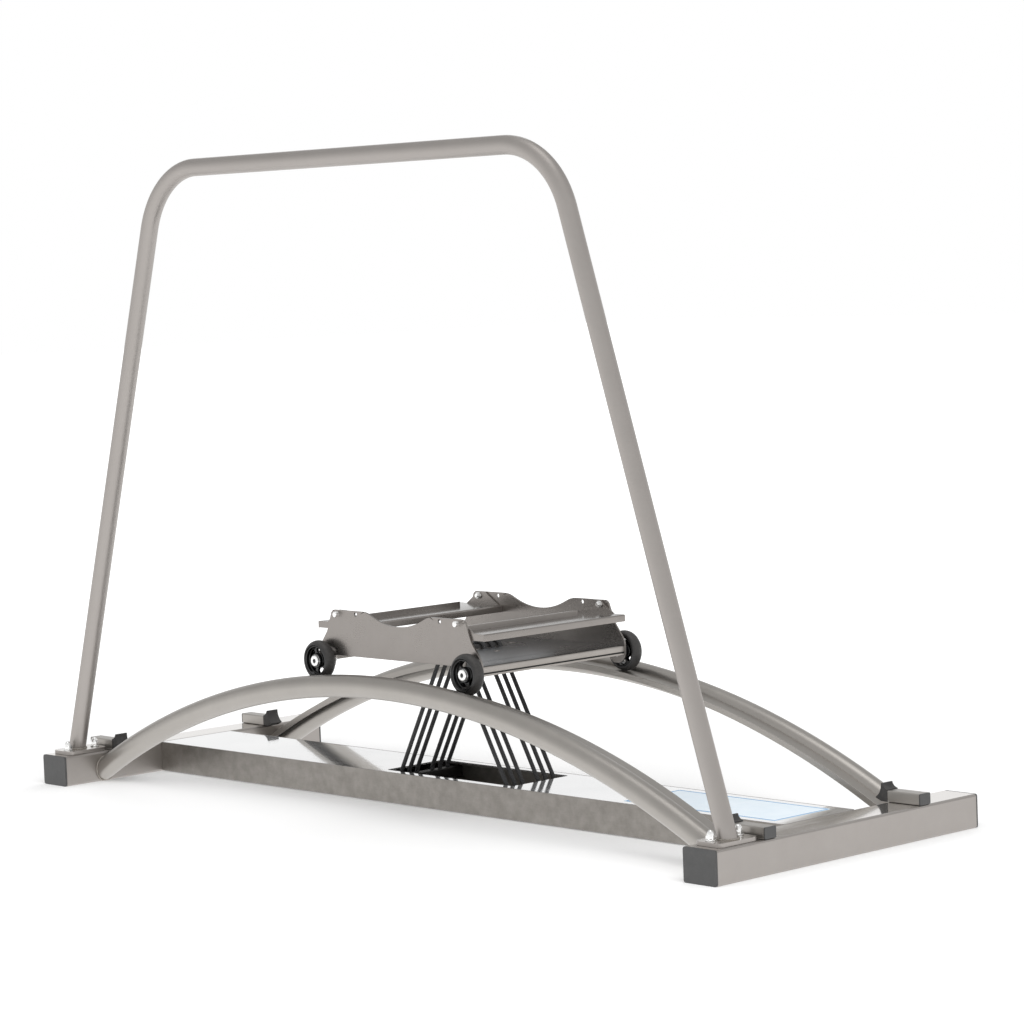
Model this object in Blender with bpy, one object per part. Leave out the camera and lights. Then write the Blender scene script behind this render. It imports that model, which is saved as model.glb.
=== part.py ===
"""Ski simulator: a carriage on skate wheels that runs over two arched rails against elastic cords.

Metres, +Z up. X runs along the arch, Y from the front (the side with the handle hoop, -Y) to the
back. The origin is on the floor, in the middle of the frame.
"""
import math

import bmesh
import bpy
from mathutils import Matrix, Vector

# General clearances
SEAT_GAP = 0.0003             # between pieces that rest on, or are fixed to, each other
RUNNING_GAP = 0.0005          # between a wheel and what it turns beside
HOLE_CLEARANCE = 0.0005       # radial, round a shank or a cord in its hole

# Ground frame: two cross beams, with a box and a polished plate between them
FRAME_LENGTH = 1.864          # over the cross beams
FRAME_DEPTH = 0.668           # over the beams' end caps
BEAM_WIDTH = 0.074
BEAM_HEIGHT = 0.060
BEAM_WALL = 0.003
BEAM_CORNER = 0.004
CAP_THICKNESS = 0.004
CAP_PLUG = 0.018
CAP_EDGE = 0.0006
BOX_DEPTH = 0.183
BOX_FLOOR_GAP = 0.002         # the box hangs this far above the floor
SHEET = 0.003                 # wall of the base box and of the carriage's folded parts
BOX_LIP = 0.012               # inward lips that carry the plate
PLATE_THICKNESS = 0.003
OPENING_LENGTH = 0.351
OPENING_BORDER = 0.019        # from the box's outer side to the opening
OPENING_CORNER = 0.006

# Arched rails: a round tube with a strip on its inner side that the wheels run on
ARCH_TOP = 0.248              # height of the tube's centre line at mid length
RAIL_FLOOR_GAP = 0.0005       # under the tube's lowest points, at the beams
RAIL_INSET = 0.099            # from the beams' ends to the centre line
RAIL_DIAMETER = 0.0424
RAIL_WALL = 0.0026
RAIL_SIDES = 12
ARCH_STEPS = 20
TRACK_REACH = 0.048           # inner edge of the strip, from the tube's centre line
TRACK_RISE = 0.008            # running surface above the tube's centre line
TRACK_LEG = 0.011             # the strip's inner edge turns down this far below it
TRACK_THICKNESS = 0.003

# Handle hoop
HOOP_INSET = 0.063            # from the beams' front ends to its plane
HOOP_SPLAY = 0.0085           # the posts' centre lines meet the beams' tops this far outside their middles
HOOP_HEIGHT = 1.218           # centre line of the top bar
HOOP_LEAN = math.radians(17.2)
HOOP_DIAMETER = 0.0337
HOOP_WALL = 0.0025
HOOP_BEND = 0.158
HOOP_SIDES = 10
FOOT_LENGTH = 0.094
FOOT_WIDTH = 0.060
FOOT_THICKNESS = 0.007
FOOT_CORNER = 0.012
FOOT_SHIFT = 0.003            # from the hoop's plane towards the back
FOOT_BOLT_SPACING = 0.066
FOOT_BOLT_INSET = 0.004       # from the beam's middle, towards the middle of the frame

# End stops on the beams
STOP_WIDTH = 0.028
STOP_HEIGHT = 0.020
STOP_WALL = 0.002
STOP_CORNER = 0.002
STOP_CAP = 0.0025
STOP_CAP_PLUG = 0.012
STOP_OVERHANG = 0.001         # from the beam's inner face back to the block
REAR_STOP_INSET = 0.008       # the rear stops stand this far nearer the middle than their wheels
BUMPER_BACK = 0.0215          # height against the block
BUMPER_HEIGHT = 0.032
BUMPER_RIDGE = 0.003          # width of its blunt top
BUMPER_RIDGE_X = 0.0145       # from the block to the ridge's far side
BUMPER_REACH = 0.028
BUMPER_TIP = 0.006            # height of the tip over the beam
BUMPER_UNDERCUT = 0.013
BUMPER_BACK_BOW = 0.0025      # how far its two flanks are hollow
BUMPER_FRONT_BOW = 0.0040

# Wheels
WHEEL_DIAMETER = 0.076
WHEEL_WIDTH = 0.024
WHEEL_SPREAD = 0.206          # half distance between the axles
TYRE_FLANK = 0.0265           # radius at which the tyre is at its full width
TYRE_STEPS = 3                # on each side, from there to the tread
CORE_RADIUS = 0.0235
CORE_RIM = 0.003
CORE_WIDTH = 0.020
CORE_WEB = 0.009
HUB_RADIUS = 0.0125
HUB_WIDTH = 0.019
SPOKE_GAPS = 5
SPOKE_GAP_RADIUS = 0.0036
WHEEL_STEPS = 16
AXLE_RADIUS = 0.004
AXLE_HEAD_RADIUS = 0.0085
AXLE_HEAD = 0.0035
SPACER_RADIUS = 0.0065
SOCKET_RADIUS = 0.0045
SOCKET_DEPTH = 0.0025
AXLE_CAP_RADIUS = 0.0085
AXLE_CAP = 0.010              # on the shaft's inner end

# Carriage. Its heights are above the axles.
SIDE_PLATE = 0.004
SIDE_PLATE_GAP = 0.0054       # between a wheel and its side plate
PLATE_RISE = 0.0958
VALLEY_RISE = 0.0723          # lowest point of the concave top edge
VALLEY_RADIUS = 0.165
VALLEY_SLOPE = math.radians(24)
PLATE_BOTTOM_RISE = 0.0098
SHOULDER_INSET = 0.021        # from the axle to the end of the top edge
WAIST_INSET = 0.0055
WAIST_RISE = 0.0553
LOBE_RADIUS = 0.021           # round each axle
SPARE_HOLE_INSET = 0.089
SPARE_HOLE_RISE = 0.0893
SPARE_HOLE_RADIUS = 0.004
FOOT_RAIL_INSET = 0.0385      # from the axle to the middle of the foot rail
FOOT_RAIL_WIDTH = 0.127
FOOT_RAIL_RISE = 0.0713
FOOT_FLANGE = 0.013           # depth of the flanges along both its sides
FIN_HEIGHT = 0.010
FIN_LENGTH = 0.242
FIN_SHIFT = 0.0045            # from the foot rail's middle, towards the carriage's
CORNER_BOLT_DROP = 0.008      # below the plates' top edge
EAR_TOP_IN = 0.017            # the ear's flat top, either side of the foot rail's middle
EAR_TOP_OUT = 0.002
EAR_BASE_IN = 0.055           # and where its flanks meet the foot rail
EAR_BASE_OUT = 0.036
EAR_INSET = 0.0004            # of the end plate that carries the ear, from the channel's outer sides
TRAY_RISE = 0.0128
TRAY_SHEET = 0.0025
TRAY_OVERHANG = 0.019         # beyond the axles
TRAY_LIP = 0.0135
TRAY_HOLE = 0.007
TRAY_HOLE_X = 0.070
TRAY_HOLE_Y = 0.104

# Fasteners
BOLT_RADIUS = 0.004
NUT_RADIUS = 0.0082           # across corners
NUT_HEIGHT = 0.0075
BOLT_HEAD_RADIUS = 0.0054
BOLT_HEAD = 0.0135            # the corner bolts' tall round heads
WASHER_RADIUS = 0.0090
WASHER = 0.0018
STUB = 0.0080                 # thread that stands out of a nut
BOLT_REACH = 0.012            # of the foot bolts into the beam

# Elastic cords
CORD_DIAMETER = 0.008
CORD_PITCH = 0.020
CORDS_PER_GROUP = 3
CORD_MARGIN = 0.013           # from the opening's side to the outermost cord's middle
CORD_END_MARGIN = 0.028       # from the opening's end to the legs' feet
CORD_SHOULDER = 0.0100        # where a leg's line meets the top of the saddle
CORD_TURN = 0.016
KNEE_RISE = 0.006             # above the anchor bar, where a leg starts to lean
KNEE_TURN = 0.017
SADDLE_HEIGHT = 0.0065
SADDLE_MARGIN = 0.008
SLOT_CLEARANCE = 0.0012       # between the cords and the edges of the tray's slots
ANCHOR_SIZE = 0.020
ANCHOR_DEPTH = 0.014          # of the holes that hold the cords
ANCHOR_DROP = 0.0067          # from the polished plate's underside to the anchor bars


def arch_shape():
    """Centre height and radius of the tube's arc, from its top and its lowest points at the beams."""
    span, tube = BEAM_INNER - SEAT_GAP, RAIL_DIAMETER / 2
    foot = tube
    for _ in range(12):
        slope = 2 * math.atan((ARCH_TOP - foot) / span)
        foot = RAIL_FLOOR_GAP + tube / math.cos(slope)
    rise = ARCH_TOP - foot
    radius = (span ** 2 + rise ** 2) / (2 * rise)
    return ARCH_TOP - radius, radius


# Worked out from the sizes above
BEAM_INNER = FRAME_LENGTH / 2 - BEAM_WIDTH
BEAM_CENTRE = FRAME_LENGTH / 2 - BEAM_WIDTH / 2
BEAM_LENGTH = FRAME_DEPTH - 2 * (CAP_THICKNESS + SEAT_GAP)
BOX_WALL_INNER = BOX_DEPTH / 2 - SHEET
HOOP_OFFSET = FRAME_DEPTH / 2 - HOOP_INSET
FOOT_MIDDLE = FOOT_SHIFT - HOOP_OFFSET
RAIL_OFFSET = FRAME_DEPTH / 2 - RAIL_INSET
RAIL_END = BEAM_INNER - SEAT_GAP
PIVOT_Z, ARCH_RADIUS = arch_shape()
TRACK_SEAT = math.sqrt((RAIL_DIAMETER / 2) ** 2 - TRACK_RISE ** 2) + SEAT_GAP
TRACK_RADIUS = ARCH_RADIUS + TRACK_RISE
WHEEL_OFFSET = RAIL_OFFSET - (TRACK_REACH + TRACK_SEAT) / 2
AXLE_PATH_RADIUS = TRACK_RADIUS + RUNNING_GAP + WHEEL_DIAMETER / 2
AXLE_Z = PIVOT_Z + math.sqrt(AXLE_PATH_RADIUS ** 2 - WHEEL_SPREAD ** 2)
PLATE_OUTER = WHEEL_OFFSET - WHEEL_WIDTH / 2 - SIDE_PLATE_GAP
PLATE_INNER = PLATE_OUTER - SIDE_PLATE
PLATE_TOP = AXLE_Z + PLATE_RISE
CARRIAGE_HALF = PLATE_INNER - SEAT_GAP
FOOT_RAIL_X = WHEEL_SPREAD - FOOT_RAIL_INSET
FOOT_RAIL_TOP = AXLE_Z + FOOT_RAIL_RISE
CORNER_BOLT_Z = PLATE_TOP - CORNER_BOLT_DROP
TRAY_TOP = AXLE_Z + TRAY_RISE
STOP_INNER = BEAM_INNER + STOP_OVERHANG
OPENING_WIDTH = BOX_DEPTH - 2 * OPENING_BORDER
ANCHOR_TOP = BEAM_HEIGHT - PLATE_THICKNESS - ANCHOR_DROP
CORD_SPREAD = OPENING_LENGTH / 2 - CORD_END_MARGIN
CORD_KNEE = ANCHOR_TOP + KNEE_RISE
CORD_TOP = TRAY_TOP + SEAT_GAP + SADDLE_HEIGHT + SEAT_GAP + CORD_DIAMETER / 2

PLANES = {
    "XY": lambda u, v, w: Vector((u, v, w)),
    "XZ": lambda u, v, w: Vector((u, w, v)),
    "YZ": lambda u, v, w: Vector((w, u, v)),
}

FINISHES = {
    "brushed_steel": ((0.40, 0.385, 0.365), 0.38, 0.9),
    "polished_steel": ((0.80, 0.80, 0.80), 0.06, 1.0),
    "bright_zinc": ((0.78, 0.78, 0.78), 0.20, 1.0),
    "dark_plastic": ((0.11, 0.11, 0.11), 0.45, 0.0),
    "black_rubber": ((0.022, 0.022, 0.023), 0.60, 0.0),
    "core_plastic": ((0.030, 0.030, 0.032), 0.35, 0.0),
    "cord_fabric": ((0.020, 0.020, 0.021), 0.85, 0.0),
}


def clear_scene():
    for item in list(bpy.data.objects):
        bpy.data.objects.remove(item, do_unlink=True)


def make_finishes():
    made = {}
    for name, (colour, roughness, metallic) in FINISHES.items():
        material = bpy.data.materials.new(name)
        material.use_nodes = True
        shader = material.node_tree.nodes["Principled BSDF"]
        shader.inputs["Base Color"].default_value = (*colour, 1.0)
        shader.inputs["Roughness"].default_value = roughness
        shader.inputs["Metallic"].default_value = metallic
        material.diffuse_color = (*colour, 1.0)
        made[name] = material
    return made


# Outlines

def mirrored(points):
    """The points, then the same points mirrored in the first axis, in the order of an outline."""
    return list(points) + [(-point[0], *point[1:]) for point in reversed(points)]


def rounded(corners, step=math.radians(18)):
    """Outline through corners (u, v, radius), each rounded with its own radius."""
    outline = []
    for index, (u, v, radius) in enumerate(corners):
        corner = Vector((u, v))
        if radius <= 0:
            outline.append(corner)
            continue
        back = (Vector(corners[index - 1][:2]) - corner).normalized()
        ahead = (Vector(corners[(index + 1) % len(corners)][:2]) - corner).normalized()
        half = back.angle(ahead) / 2
        turn = math.pi - 2 * half
        centre = corner + (back + ahead).normalized() * (radius / math.sin(half))
        start = corner + back * (radius / math.tan(half)) - centre
        end = corner + ahead * (radius / math.tan(half)) - centre
        sense = 1 if start.x * end.y - start.y * end.x > 0 else -1
        count = max(2, math.ceil(turn / step))
        for k in range(count + 1):
            outline.append(centre + Matrix.Rotation(sense * turn * k / count, 2) @ start)
    return outline


def rectangle(width, height, radius, centre=(0, 0)):
    u, v = width / 2, height / 2
    corners = [(u, v), (-u, v), (-u, -v), (u, -v)]
    return rounded([(centre[0] + a, centre[1] + b, radius) for a, b in corners], math.radians(45))


def circle(radius, sides, centre=(0, 0)):
    angles = [2 * math.pi * k / sides for k in range(sides)]
    return [(centre[0] + radius * math.cos(a), centre[1] + radius * math.sin(a)) for a in angles]


def bowed(start, end, sag, count=4):
    """Points of an arc from start to end that bows to the left of the way by sag."""
    start, end = Vector(start), Vector(end)
    across = Vector((-(end - start).y, (end - start).x)).normalized()
    points = []
    for k in range(count + 1):
        t = k / count
        points.append(start.lerp(end, t) + across * (sag * 4 * t * (1 - t)))
    return points


# Solids

def prism(outline, low, high, plane, holes=()):
    """Solid between two levels of a flat outline, with shaped holes right through it."""
    bm = bmesh.new()
    place = PLANES[plane]
    edges = []
    for loop in (outline, *holes):
        ring = [bm.verts.new(place(point[0], point[1], low)) for point in loop]
        edges += [bm.edges.new((ring[k - 1], ring[k])) for k in range(len(ring))]
    bmesh.ops.triangle_fill(bm, use_beauty=True, edges=edges)
    grown = bmesh.ops.extrude_face_region(bm, geom=bm.faces[:])
    moved = [item for item in grown["geom"] if isinstance(item, bmesh.types.BMVert)]
    bmesh.ops.translate(bm, verts=moved, vec=place(0, 0, high) - place(0, 0, low))
    return bm


def loft(rings, hollow=False):
    """Skin over rings of points. A hollow one closes from its last ring back to its first."""
    bm = bmesh.new()
    rows = [[bm.verts.new(point) for point in ring] for ring in rings]
    count = len(rows[0])
    pairs = list(zip(rows, rows[1:]))
    if hollow:
        pairs.append((rows[-1], rows[0]))
    for near, far in pairs:
        for k in range(count):
            bm.faces.new((near[k - 1], near[k], far[k], far[k - 1]))
    if not hollow:
        bm.faces.new(rows[0])
        bm.faces.new(list(reversed(rows[-1])))
    return bm


def spun(profile, steps):
    """Ring solid: a closed (radius, offset) profile spun about the Y axis."""
    bm = bmesh.new()
    ring = [bm.verts.new((radius, offset, 0)) for radius, offset in profile]
    edges = [bm.edges.new((ring[k - 1], ring[k])) for k in range(len(ring))]
    bmesh.ops.spin(bm, geom=ring + edges, cent=(0, 0, 0), axis=(0, 1, 0), angle=2 * math.pi,
                   steps=steps, use_merge=True, use_duplicate=False)
    bmesh.ops.remove_doubles(bm, verts=bm.verts[:], dist=0.00001)
    return bm


def turned(stations, sides=12):
    """Bar along +Z from stations (height, radius, is_hex)."""
    rings = []
    for height, radius, is_hex in stations:
        ring = []
        for k in range(sides):
            angle = 2 * math.pi * k / sides
            reach = radius * math.cos(math.pi / 6) if is_hex and k % 2 else radius
            ring.append((reach * math.cos(angle), reach * math.sin(angle), height))
        rings.append(ring)
    return loft(rings)


def add(name, bm, finish, location=(0, 0, 0), rotation=(0, 0, 0), parent=None, smooth=30):
    bmesh.ops.recalc_face_normals(bm, faces=bm.faces[:])
    mesh = bpy.data.meshes.new(name)
    bm.to_mesh(mesh)
    bm.free()
    mesh.materials.append(finishes[finish])
    mesh.shade_smooth()
    mesh.set_sharp_from_angle(angle=math.radians(smooth))
    item = bpy.data.objects.new(name, mesh)
    bpy.context.collection.objects.link(item)
    item.location = location
    item.rotation_euler = rotation
    if parent:
        attach(item, parent)
    return item


def attach(item, parent):
    item.parent = parent
    item.matrix_parent_inverse = Matrix.Translation(-parent.location)


def boolean(item, bm, operation="DIFFERENCE"):
    """Cuts or joins a helper solid, given in the item's own frame, with a Boolean modifier."""
    bmesh.ops.recalc_face_normals(bm, faces=bm.faces[:])
    mesh = bpy.data.meshes.new(item.name + "_tool")
    bm.to_mesh(mesh)
    bm.free()
    tool = bpy.data.objects.new(mesh.name, mesh)
    bpy.context.collection.objects.link(tool)
    tool.location = item.location
    tool.rotation_euler = item.rotation_euler
    tool.hide_render = True
    tool.display_type = "WIRE"
    modifier = item.modifiers.new(operation.lower(), "BOOLEAN")
    modifier.operation = operation
    modifier.object = tool
    modifier.solver = "EXACT"


def join(solids):
    """One bmesh holding several separate solids."""
    whole = bmesh.new()
    for bm in solids:
        bmesh.ops.recalc_face_normals(bm, faces=bm.faces[:])
        mesh = bpy.data.meshes.new("part_of_tool")
        bm.to_mesh(mesh)
        bm.free()
        whole.from_mesh(mesh)
        bpy.data.meshes.remove(mesh)
    return whole


# The ground frame

def make_beams():
    outer = rectangle(BEAM_WIDTH, BEAM_HEIGHT, BEAM_CORNER, (0, BEAM_HEIGHT / 2))
    bore_size = (BEAM_WIDTH - 2 * BEAM_WALL, BEAM_HEIGHT - 2 * BEAM_WALL)
    bore = rectangle(*bore_size, BEAM_CORNER - BEAM_WALL, (0, BEAM_HEIGHT / 2))
    for side, word in ((-1, "left"), (1, "right")):
        beam = add(f"{word}_cross_beam", prism(outer, -BEAM_LENGTH / 2, BEAM_LENGTH / 2, "XZ", [bore]),
                   "brushed_steel", (side * BEAM_CENTRE, 0, 0))
        holes = []
        for end in (-1, 1):
            centre = (-side * FOOT_BOLT_INSET, FOOT_MIDDLE + end * FOOT_BOLT_SPACING / 2)
            hole = circle(BOLT_RADIUS + HOLE_CLEARANCE, 12, centre)
            holes.append(prism(hole, BEAM_HEIGHT - 2 * BEAM_WALL, BEAM_HEIGHT + BEAM_WALL, "XY"))
        boolean(beam, join(holes))
        for end, place in ((-1, "front"), (1, "rear")):
            make_cap(f"{word}_{place}_beam_cap", BEAM_WIDTH, BEAM_HEIGHT, BEAM_WALL, BEAM_CORNER,
                     CAP_THICKNESS, CAP_PLUG, (side * BEAM_CENTRE, end * FRAME_DEPTH / 2, BEAM_HEIGHT / 2),
                     (-end * math.pi / 2, 0, 0))


def make_cap(name, width, height, wall, corner, thickness, plug, location, rotation):
    """End cap with a plug. Its outer face is at the origin and the plug runs to -Z."""
    inset = 2 * (wall + SEAT_GAP)
    crown = rectangle(width - 2 * CAP_EDGE, height - 2 * CAP_EDGE, corner)
    flange = rectangle(width, height, corner)
    insert = rectangle(width - inset, height - inset, corner / 2)
    levels = [(crown, 0), (flange, -CAP_EDGE), (flange, -thickness), (insert, -thickness), (insert, -plug)]
    rings = [[(u, v, level) for u, v in outline] for outline, level in levels]
    add(name, loft(rings), "dark_plastic", location, rotation)


def make_base():
    half = BOX_DEPTH / 2
    top, floor = BEAM_HEIGHT, BOX_FLOOR_GAP
    lip_top = top - PLATE_THICKNESS - SEAT_GAP
    side = [(half, floor), (half, top), (half - SHEET, top), (half - SHEET, lip_top)]
    side += [(half - SHEET - BOX_LIP, lip_top), (half - SHEET - BOX_LIP, lip_top - SHEET)]
    side += [(half - SHEET, lip_top - SHEET), (half - SHEET, floor + SHEET)]
    section = mirrored(side)
    add("base_box", prism(section, -RAIL_END, RAIL_END, "YZ"), "brushed_steel")

    plate_half = half - SHEET - SEAT_GAP
    plate = [(-RAIL_END, plate_half), (-RAIL_END, -plate_half)]
    plate += [(RAIL_END, -plate_half), (RAIL_END, plate_half)]
    opening = rectangle(OPENING_LENGTH, OPENING_WIDTH, OPENING_CORNER)
    add("top_plate", prism(plate, top - PLATE_THICKNESS, top, "XY", [opening]), "polished_steel")


def make_anchor_bars():
    half = BOX_WALL_INNER - SEAT_GAP
    for side, word in ((-1, "left"), (1, "right")):
        section = rectangle(ANCHOR_SIZE, ANCHOR_SIZE, 0.002, (0, ANCHOR_TOP - ANCHOR_SIZE / 2))
        bar = add(f"{word}_anchor_bar", prism(section, -half, half, "XZ"), "bright_zinc",
                  (side * CORD_SPREAD, 0, 0))
        holes = [circle(CORD_DIAMETER / 2 + HOLE_CLEARANCE, 8, (0, y)) for y in cord_places()]
        low, high = ANCHOR_TOP - ANCHOR_DEPTH, ANCHOR_TOP + ANCHOR_SIZE
        boolean(bar, join([prism(hole, low, high, "XY") for hole in holes]))


# The rails

def arch_point(side, inward, outward, angle):
    """Point beside a rail: inward from its centre line to the middle plane, outward from the arch."""
    reach = ARCH_RADIUS + outward
    y = side * (RAIL_OFFSET - inward)
    return Vector((reach * math.sin(angle), y, PIVOT_Z + reach * math.cos(angle)))


def arch_rings(section, side):
    """The section swept along the arch. Both ends are cut upright, against the beams."""
    rings = []
    for step in range(ARCH_STEPS + 1):
        share = 2 * step / ARCH_STEPS - 1
        ring = []
        for inward, outward in section:
            angle = share * math.asin(RAIL_END / (ARCH_RADIUS + outward))
            ring.append(arch_point(side, inward, outward, angle))
        rings.append(ring)
    return rings


def make_rails():
    radius = RAIL_DIAMETER / 2
    tube = circle(radius, RAIL_SIDES)
    bore = circle(radius - RAIL_WALL, RAIL_SIDES)
    low = TRACK_RISE - TRACK_THICKNESS
    seat_low = math.sqrt(radius ** 2 - low ** 2) + SEAT_GAP
    inner = TRACK_REACH - TRACK_THICKNESS
    leg = TRACK_RISE - TRACK_LEG
    strip = [(TRACK_SEAT, TRACK_RISE), (TRACK_REACH, TRACK_RISE), (TRACK_REACH, leg), (inner, leg)]
    strip += [(inner, low), (seat_low, low)]
    for side, word in ((-1, "front"), (1, "rear")):
        rings = arch_rings(tube, side) + list(reversed(arch_rings(bore, side)))
        add(f"{word}_rail", loft(rings, hollow=True), "brushed_steel", smooth=40)
        add(f"{word}_track", loft(arch_rings(strip, side)), "brushed_steel")


# The handle hoop

def hoop_stations():
    """Centre-line points (x, z) and directions of the right half, from the foot to the top bar."""
    foot = BEAM_HEIGHT + SEAT_GAP + FOOT_THICKNESS / 2
    rise = Vector((-math.sin(HOOP_LEAN), math.cos(HOOP_LEAN)))
    post = Vector((BEAM_CENTRE + HOOP_SPLAY, BEAM_HEIGHT))
    turn = math.pi / 2 - HOOP_LEAN
    corner = post + rise * ((HOOP_HEIGHT - BEAM_HEIGHT) / rise.y)
    start = corner - rise * (HOOP_BEND * math.tan(turn / 2))
    centre = start + Vector((-rise.y, rise.x)) * HOOP_BEND
    stations = [(post + rise * ((foot - BEAM_HEIGHT) / rise.y), rise)]
    for k in range(9):
        spin = Matrix.Rotation(turn * k / 8, 2)
        stations.append((centre + spin @ (start - centre), spin @ rise))
    return stations


def hoop_rings(radius):
    """Rings round the whole hoop's centre line. The two lowest are cut level, inside the foot plates."""
    half = hoop_stations()
    other = [(Vector((-point.x, point.y)), Vector((way.x, -way.y))) for point, way in reversed(half)]
    stations = half + other
    rings = []
    for index, (point, way) in enumerate(stations):
        across = Vector((way.y, -way.x))
        ring = []
        for u, v in circle(radius, HOOP_SIDES):
            spot = point + across * u
            if index in (0, len(stations) - 1):
                spot += way * ((point.y - spot.y) / way.y)
            ring.append((spot.x, v, spot.y))
        rings.append(ring)
    return rings


def make_hoop():
    """The tube, with a foot plate welded on each end. A drain hole runs up each post."""
    outer, bore = HOOP_DIAMETER / 2, HOOP_DIAMETER / 2 - HOOP_WALL
    hoop = add("handle_hoop", loft(hoop_rings(outer) + list(reversed(hoop_rings(bore))), hollow=True),
               "brushed_steel", (0, -HOOP_OFFSET, 0), smooth=40)
    low = BEAM_HEIGHT + SEAT_GAP
    high = low + FOOT_THICKNESS
    for side, word in ((-1, "left"), (1, "right")):
        outline = rectangle(FOOT_WIDTH, FOOT_LENGTH, FOOT_CORNER, (side * BEAM_CENTRE, FOOT_SHIFT))
        holes = [circle(bore, HOOP_SIDES, (side * hoop_stations()[0][0].x, 0))]
        bolt_x = side * (BEAM_CENTRE - FOOT_BOLT_INSET)
        for end in (-1, 1):
            centre = (bolt_x, FOOT_SHIFT + end * FOOT_BOLT_SPACING / 2)
            holes.append(circle(BOLT_RADIUS + HOLE_CLEARANCE, 12, centre))
        boolean(hoop, prism(outline, low, high, "XY", holes), "UNION")
        for end, place in ((-1, "front"), (1, "rear")):
            seat = high + SEAT_GAP
            nut = seat + WASHER
            stations = [(BEAM_HEIGHT - BOLT_REACH, BOLT_RADIUS, False), (seat, BOLT_RADIUS, False),
                        (seat, WASHER_RADIUS, False), (nut, WASHER_RADIUS, False),
                        (nut, NUT_RADIUS, True), (nut + NUT_HEIGHT, NUT_RADIUS, True),
                        (nut + NUT_HEIGHT, BOLT_RADIUS, False),
                        (nut + NUT_HEIGHT + STUB, BOLT_RADIUS * 0.85, False)]
            spot = (bolt_x, FOOT_MIDDLE + end * FOOT_BOLT_SPACING / 2, 0)
            add(f"{word}_{place}_foot_bolt", turned(stations), "bright_zinc", spot)


# The end stops

def bumper_outline():
    """Wedge with two hollow flanks, in x from the block's inner end and z from the beam's top."""
    shoulder = (0, BUMPER_BACK)
    tip = (-BUMPER_REACH, BUMPER_TIP)
    outline = [(0, 0)]
    outline += bowed(shoulder, (BUMPER_RIDGE - BUMPER_RIDGE_X, BUMPER_HEIGHT), BUMPER_BACK_BOW)
    outline += bowed((-BUMPER_RIDGE_X, BUMPER_HEIGHT), tip, BUMPER_FRONT_BOW)
    return outline + [(BUMPER_UNDERCUT - BUMPER_REACH, 0)]


def make_stops():
    low = BEAM_HEIGHT + SEAT_GAP
    outer_end = FRAME_LENGTH / 2 - STOP_CAP - SEAT_GAP
    centre_z = low + STOP_HEIGHT / 2
    outer = rectangle(STOP_WIDTH, STOP_HEIGHT, STOP_CORNER)
    bore = rectangle(STOP_WIDTH - 2 * STOP_WALL, STOP_HEIGHT - 2 * STOP_WALL, STOP_CORNER / 2)
    for side, word in ((-1, "left"), (1, "right")):
        for y, place in ((-WHEEL_OFFSET, "front"), (WHEEL_OFFSET - REAR_STOP_INSET, "rear")):
            spot = (0, y, centre_z)
            ends = sorted((side * STOP_INNER, side * outer_end))
            add(f"{place}_{word}_stop_block", prism(outer, ends[0], ends[1], "YZ", [bore]),
                "brushed_steel", spot)
            make_cap(f"{place}_{word}_stop_cap", STOP_HEIGHT, STOP_WIDTH, STOP_WALL, STOP_CORNER, STOP_CAP,
                     STOP_CAP_PLUG, (side * FRAME_LENGTH / 2, y, centre_z), (0, side * math.pi / 2, 0))
            outline = [(side * (STOP_INNER - SEAT_GAP + u), low + v) for u, v in bumper_outline()]
            add(f"{place}_{word}_bumper", prism(outline, -STOP_WIDTH / 2, STOP_WIDTH / 2, "XZ"),
                "black_rubber", (0, y, 0))


# The carriage

def side_plate_outline():
    lobe_in, lobe_out = WHEEL_SPREAD - LOBE_RADIUS - 0.002, WHEEL_SPREAD + LOBE_RADIUS
    lobe_low = AXLE_Z - LOBE_RADIUS
    valley_z = AXLE_Z + VALLEY_RISE - VALLEY_RADIUS * (1 / math.cos(VALLEY_SLOPE) - 1)
    crest = (PLATE_TOP - valley_z) / math.tan(VALLEY_SLOPE)
    right = [(crest, PLATE_TOP, 0.055), (WHEEL_SPREAD - SHOULDER_INSET, PLATE_TOP, 0.012),
             (WHEEL_SPREAD - WAIST_INSET, AXLE_Z + WAIST_RISE, 0.045),
             (lobe_out, AXLE_Z + LOBE_RADIUS, 0.030), (lobe_out, lobe_low, LOBE_RADIUS - 0.001),
             (lobe_in, lobe_low, LOBE_RADIUS - 0.001), (lobe_in, AXLE_Z + PLATE_BOTTOM_RISE, 0.006)]
    left = [(-u, v, r) for u, v, r in reversed(right)]
    return rounded([(0, valley_z, VALLEY_RADIUS)] + right + left, math.radians(22))


def make_side_plates(pivot):
    bolt_hole = BOLT_RADIUS + HOLE_CLEARANCE
    spare = (WHEEL_SPREAD - SPARE_HOLE_INSET, AXLE_Z + SPARE_HOLE_RISE)
    holes = []
    for side in (-1, 1):
        holes.append(circle(bolt_hole, 10, (side * FOOT_RAIL_X, CORNER_BOLT_Z)))
        holes.append(circle(SPARE_HOLE_RADIUS, 10, (side * spare[0], spare[1])))
        holes.append(circle(AXLE_RADIUS + HOLE_CLEARANCE, 10, (side * WHEEL_SPREAD, AXLE_Z)))
    for end, place in ((-1, "front"), (1, "rear")):
        levels = sorted((end * PLATE_INNER, end * PLATE_OUTER))
        add(f"{place}_side_plate", prism(side_plate_outline(), *levels, "XZ", holes), "brushed_steel",
            parent=pivot)


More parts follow.
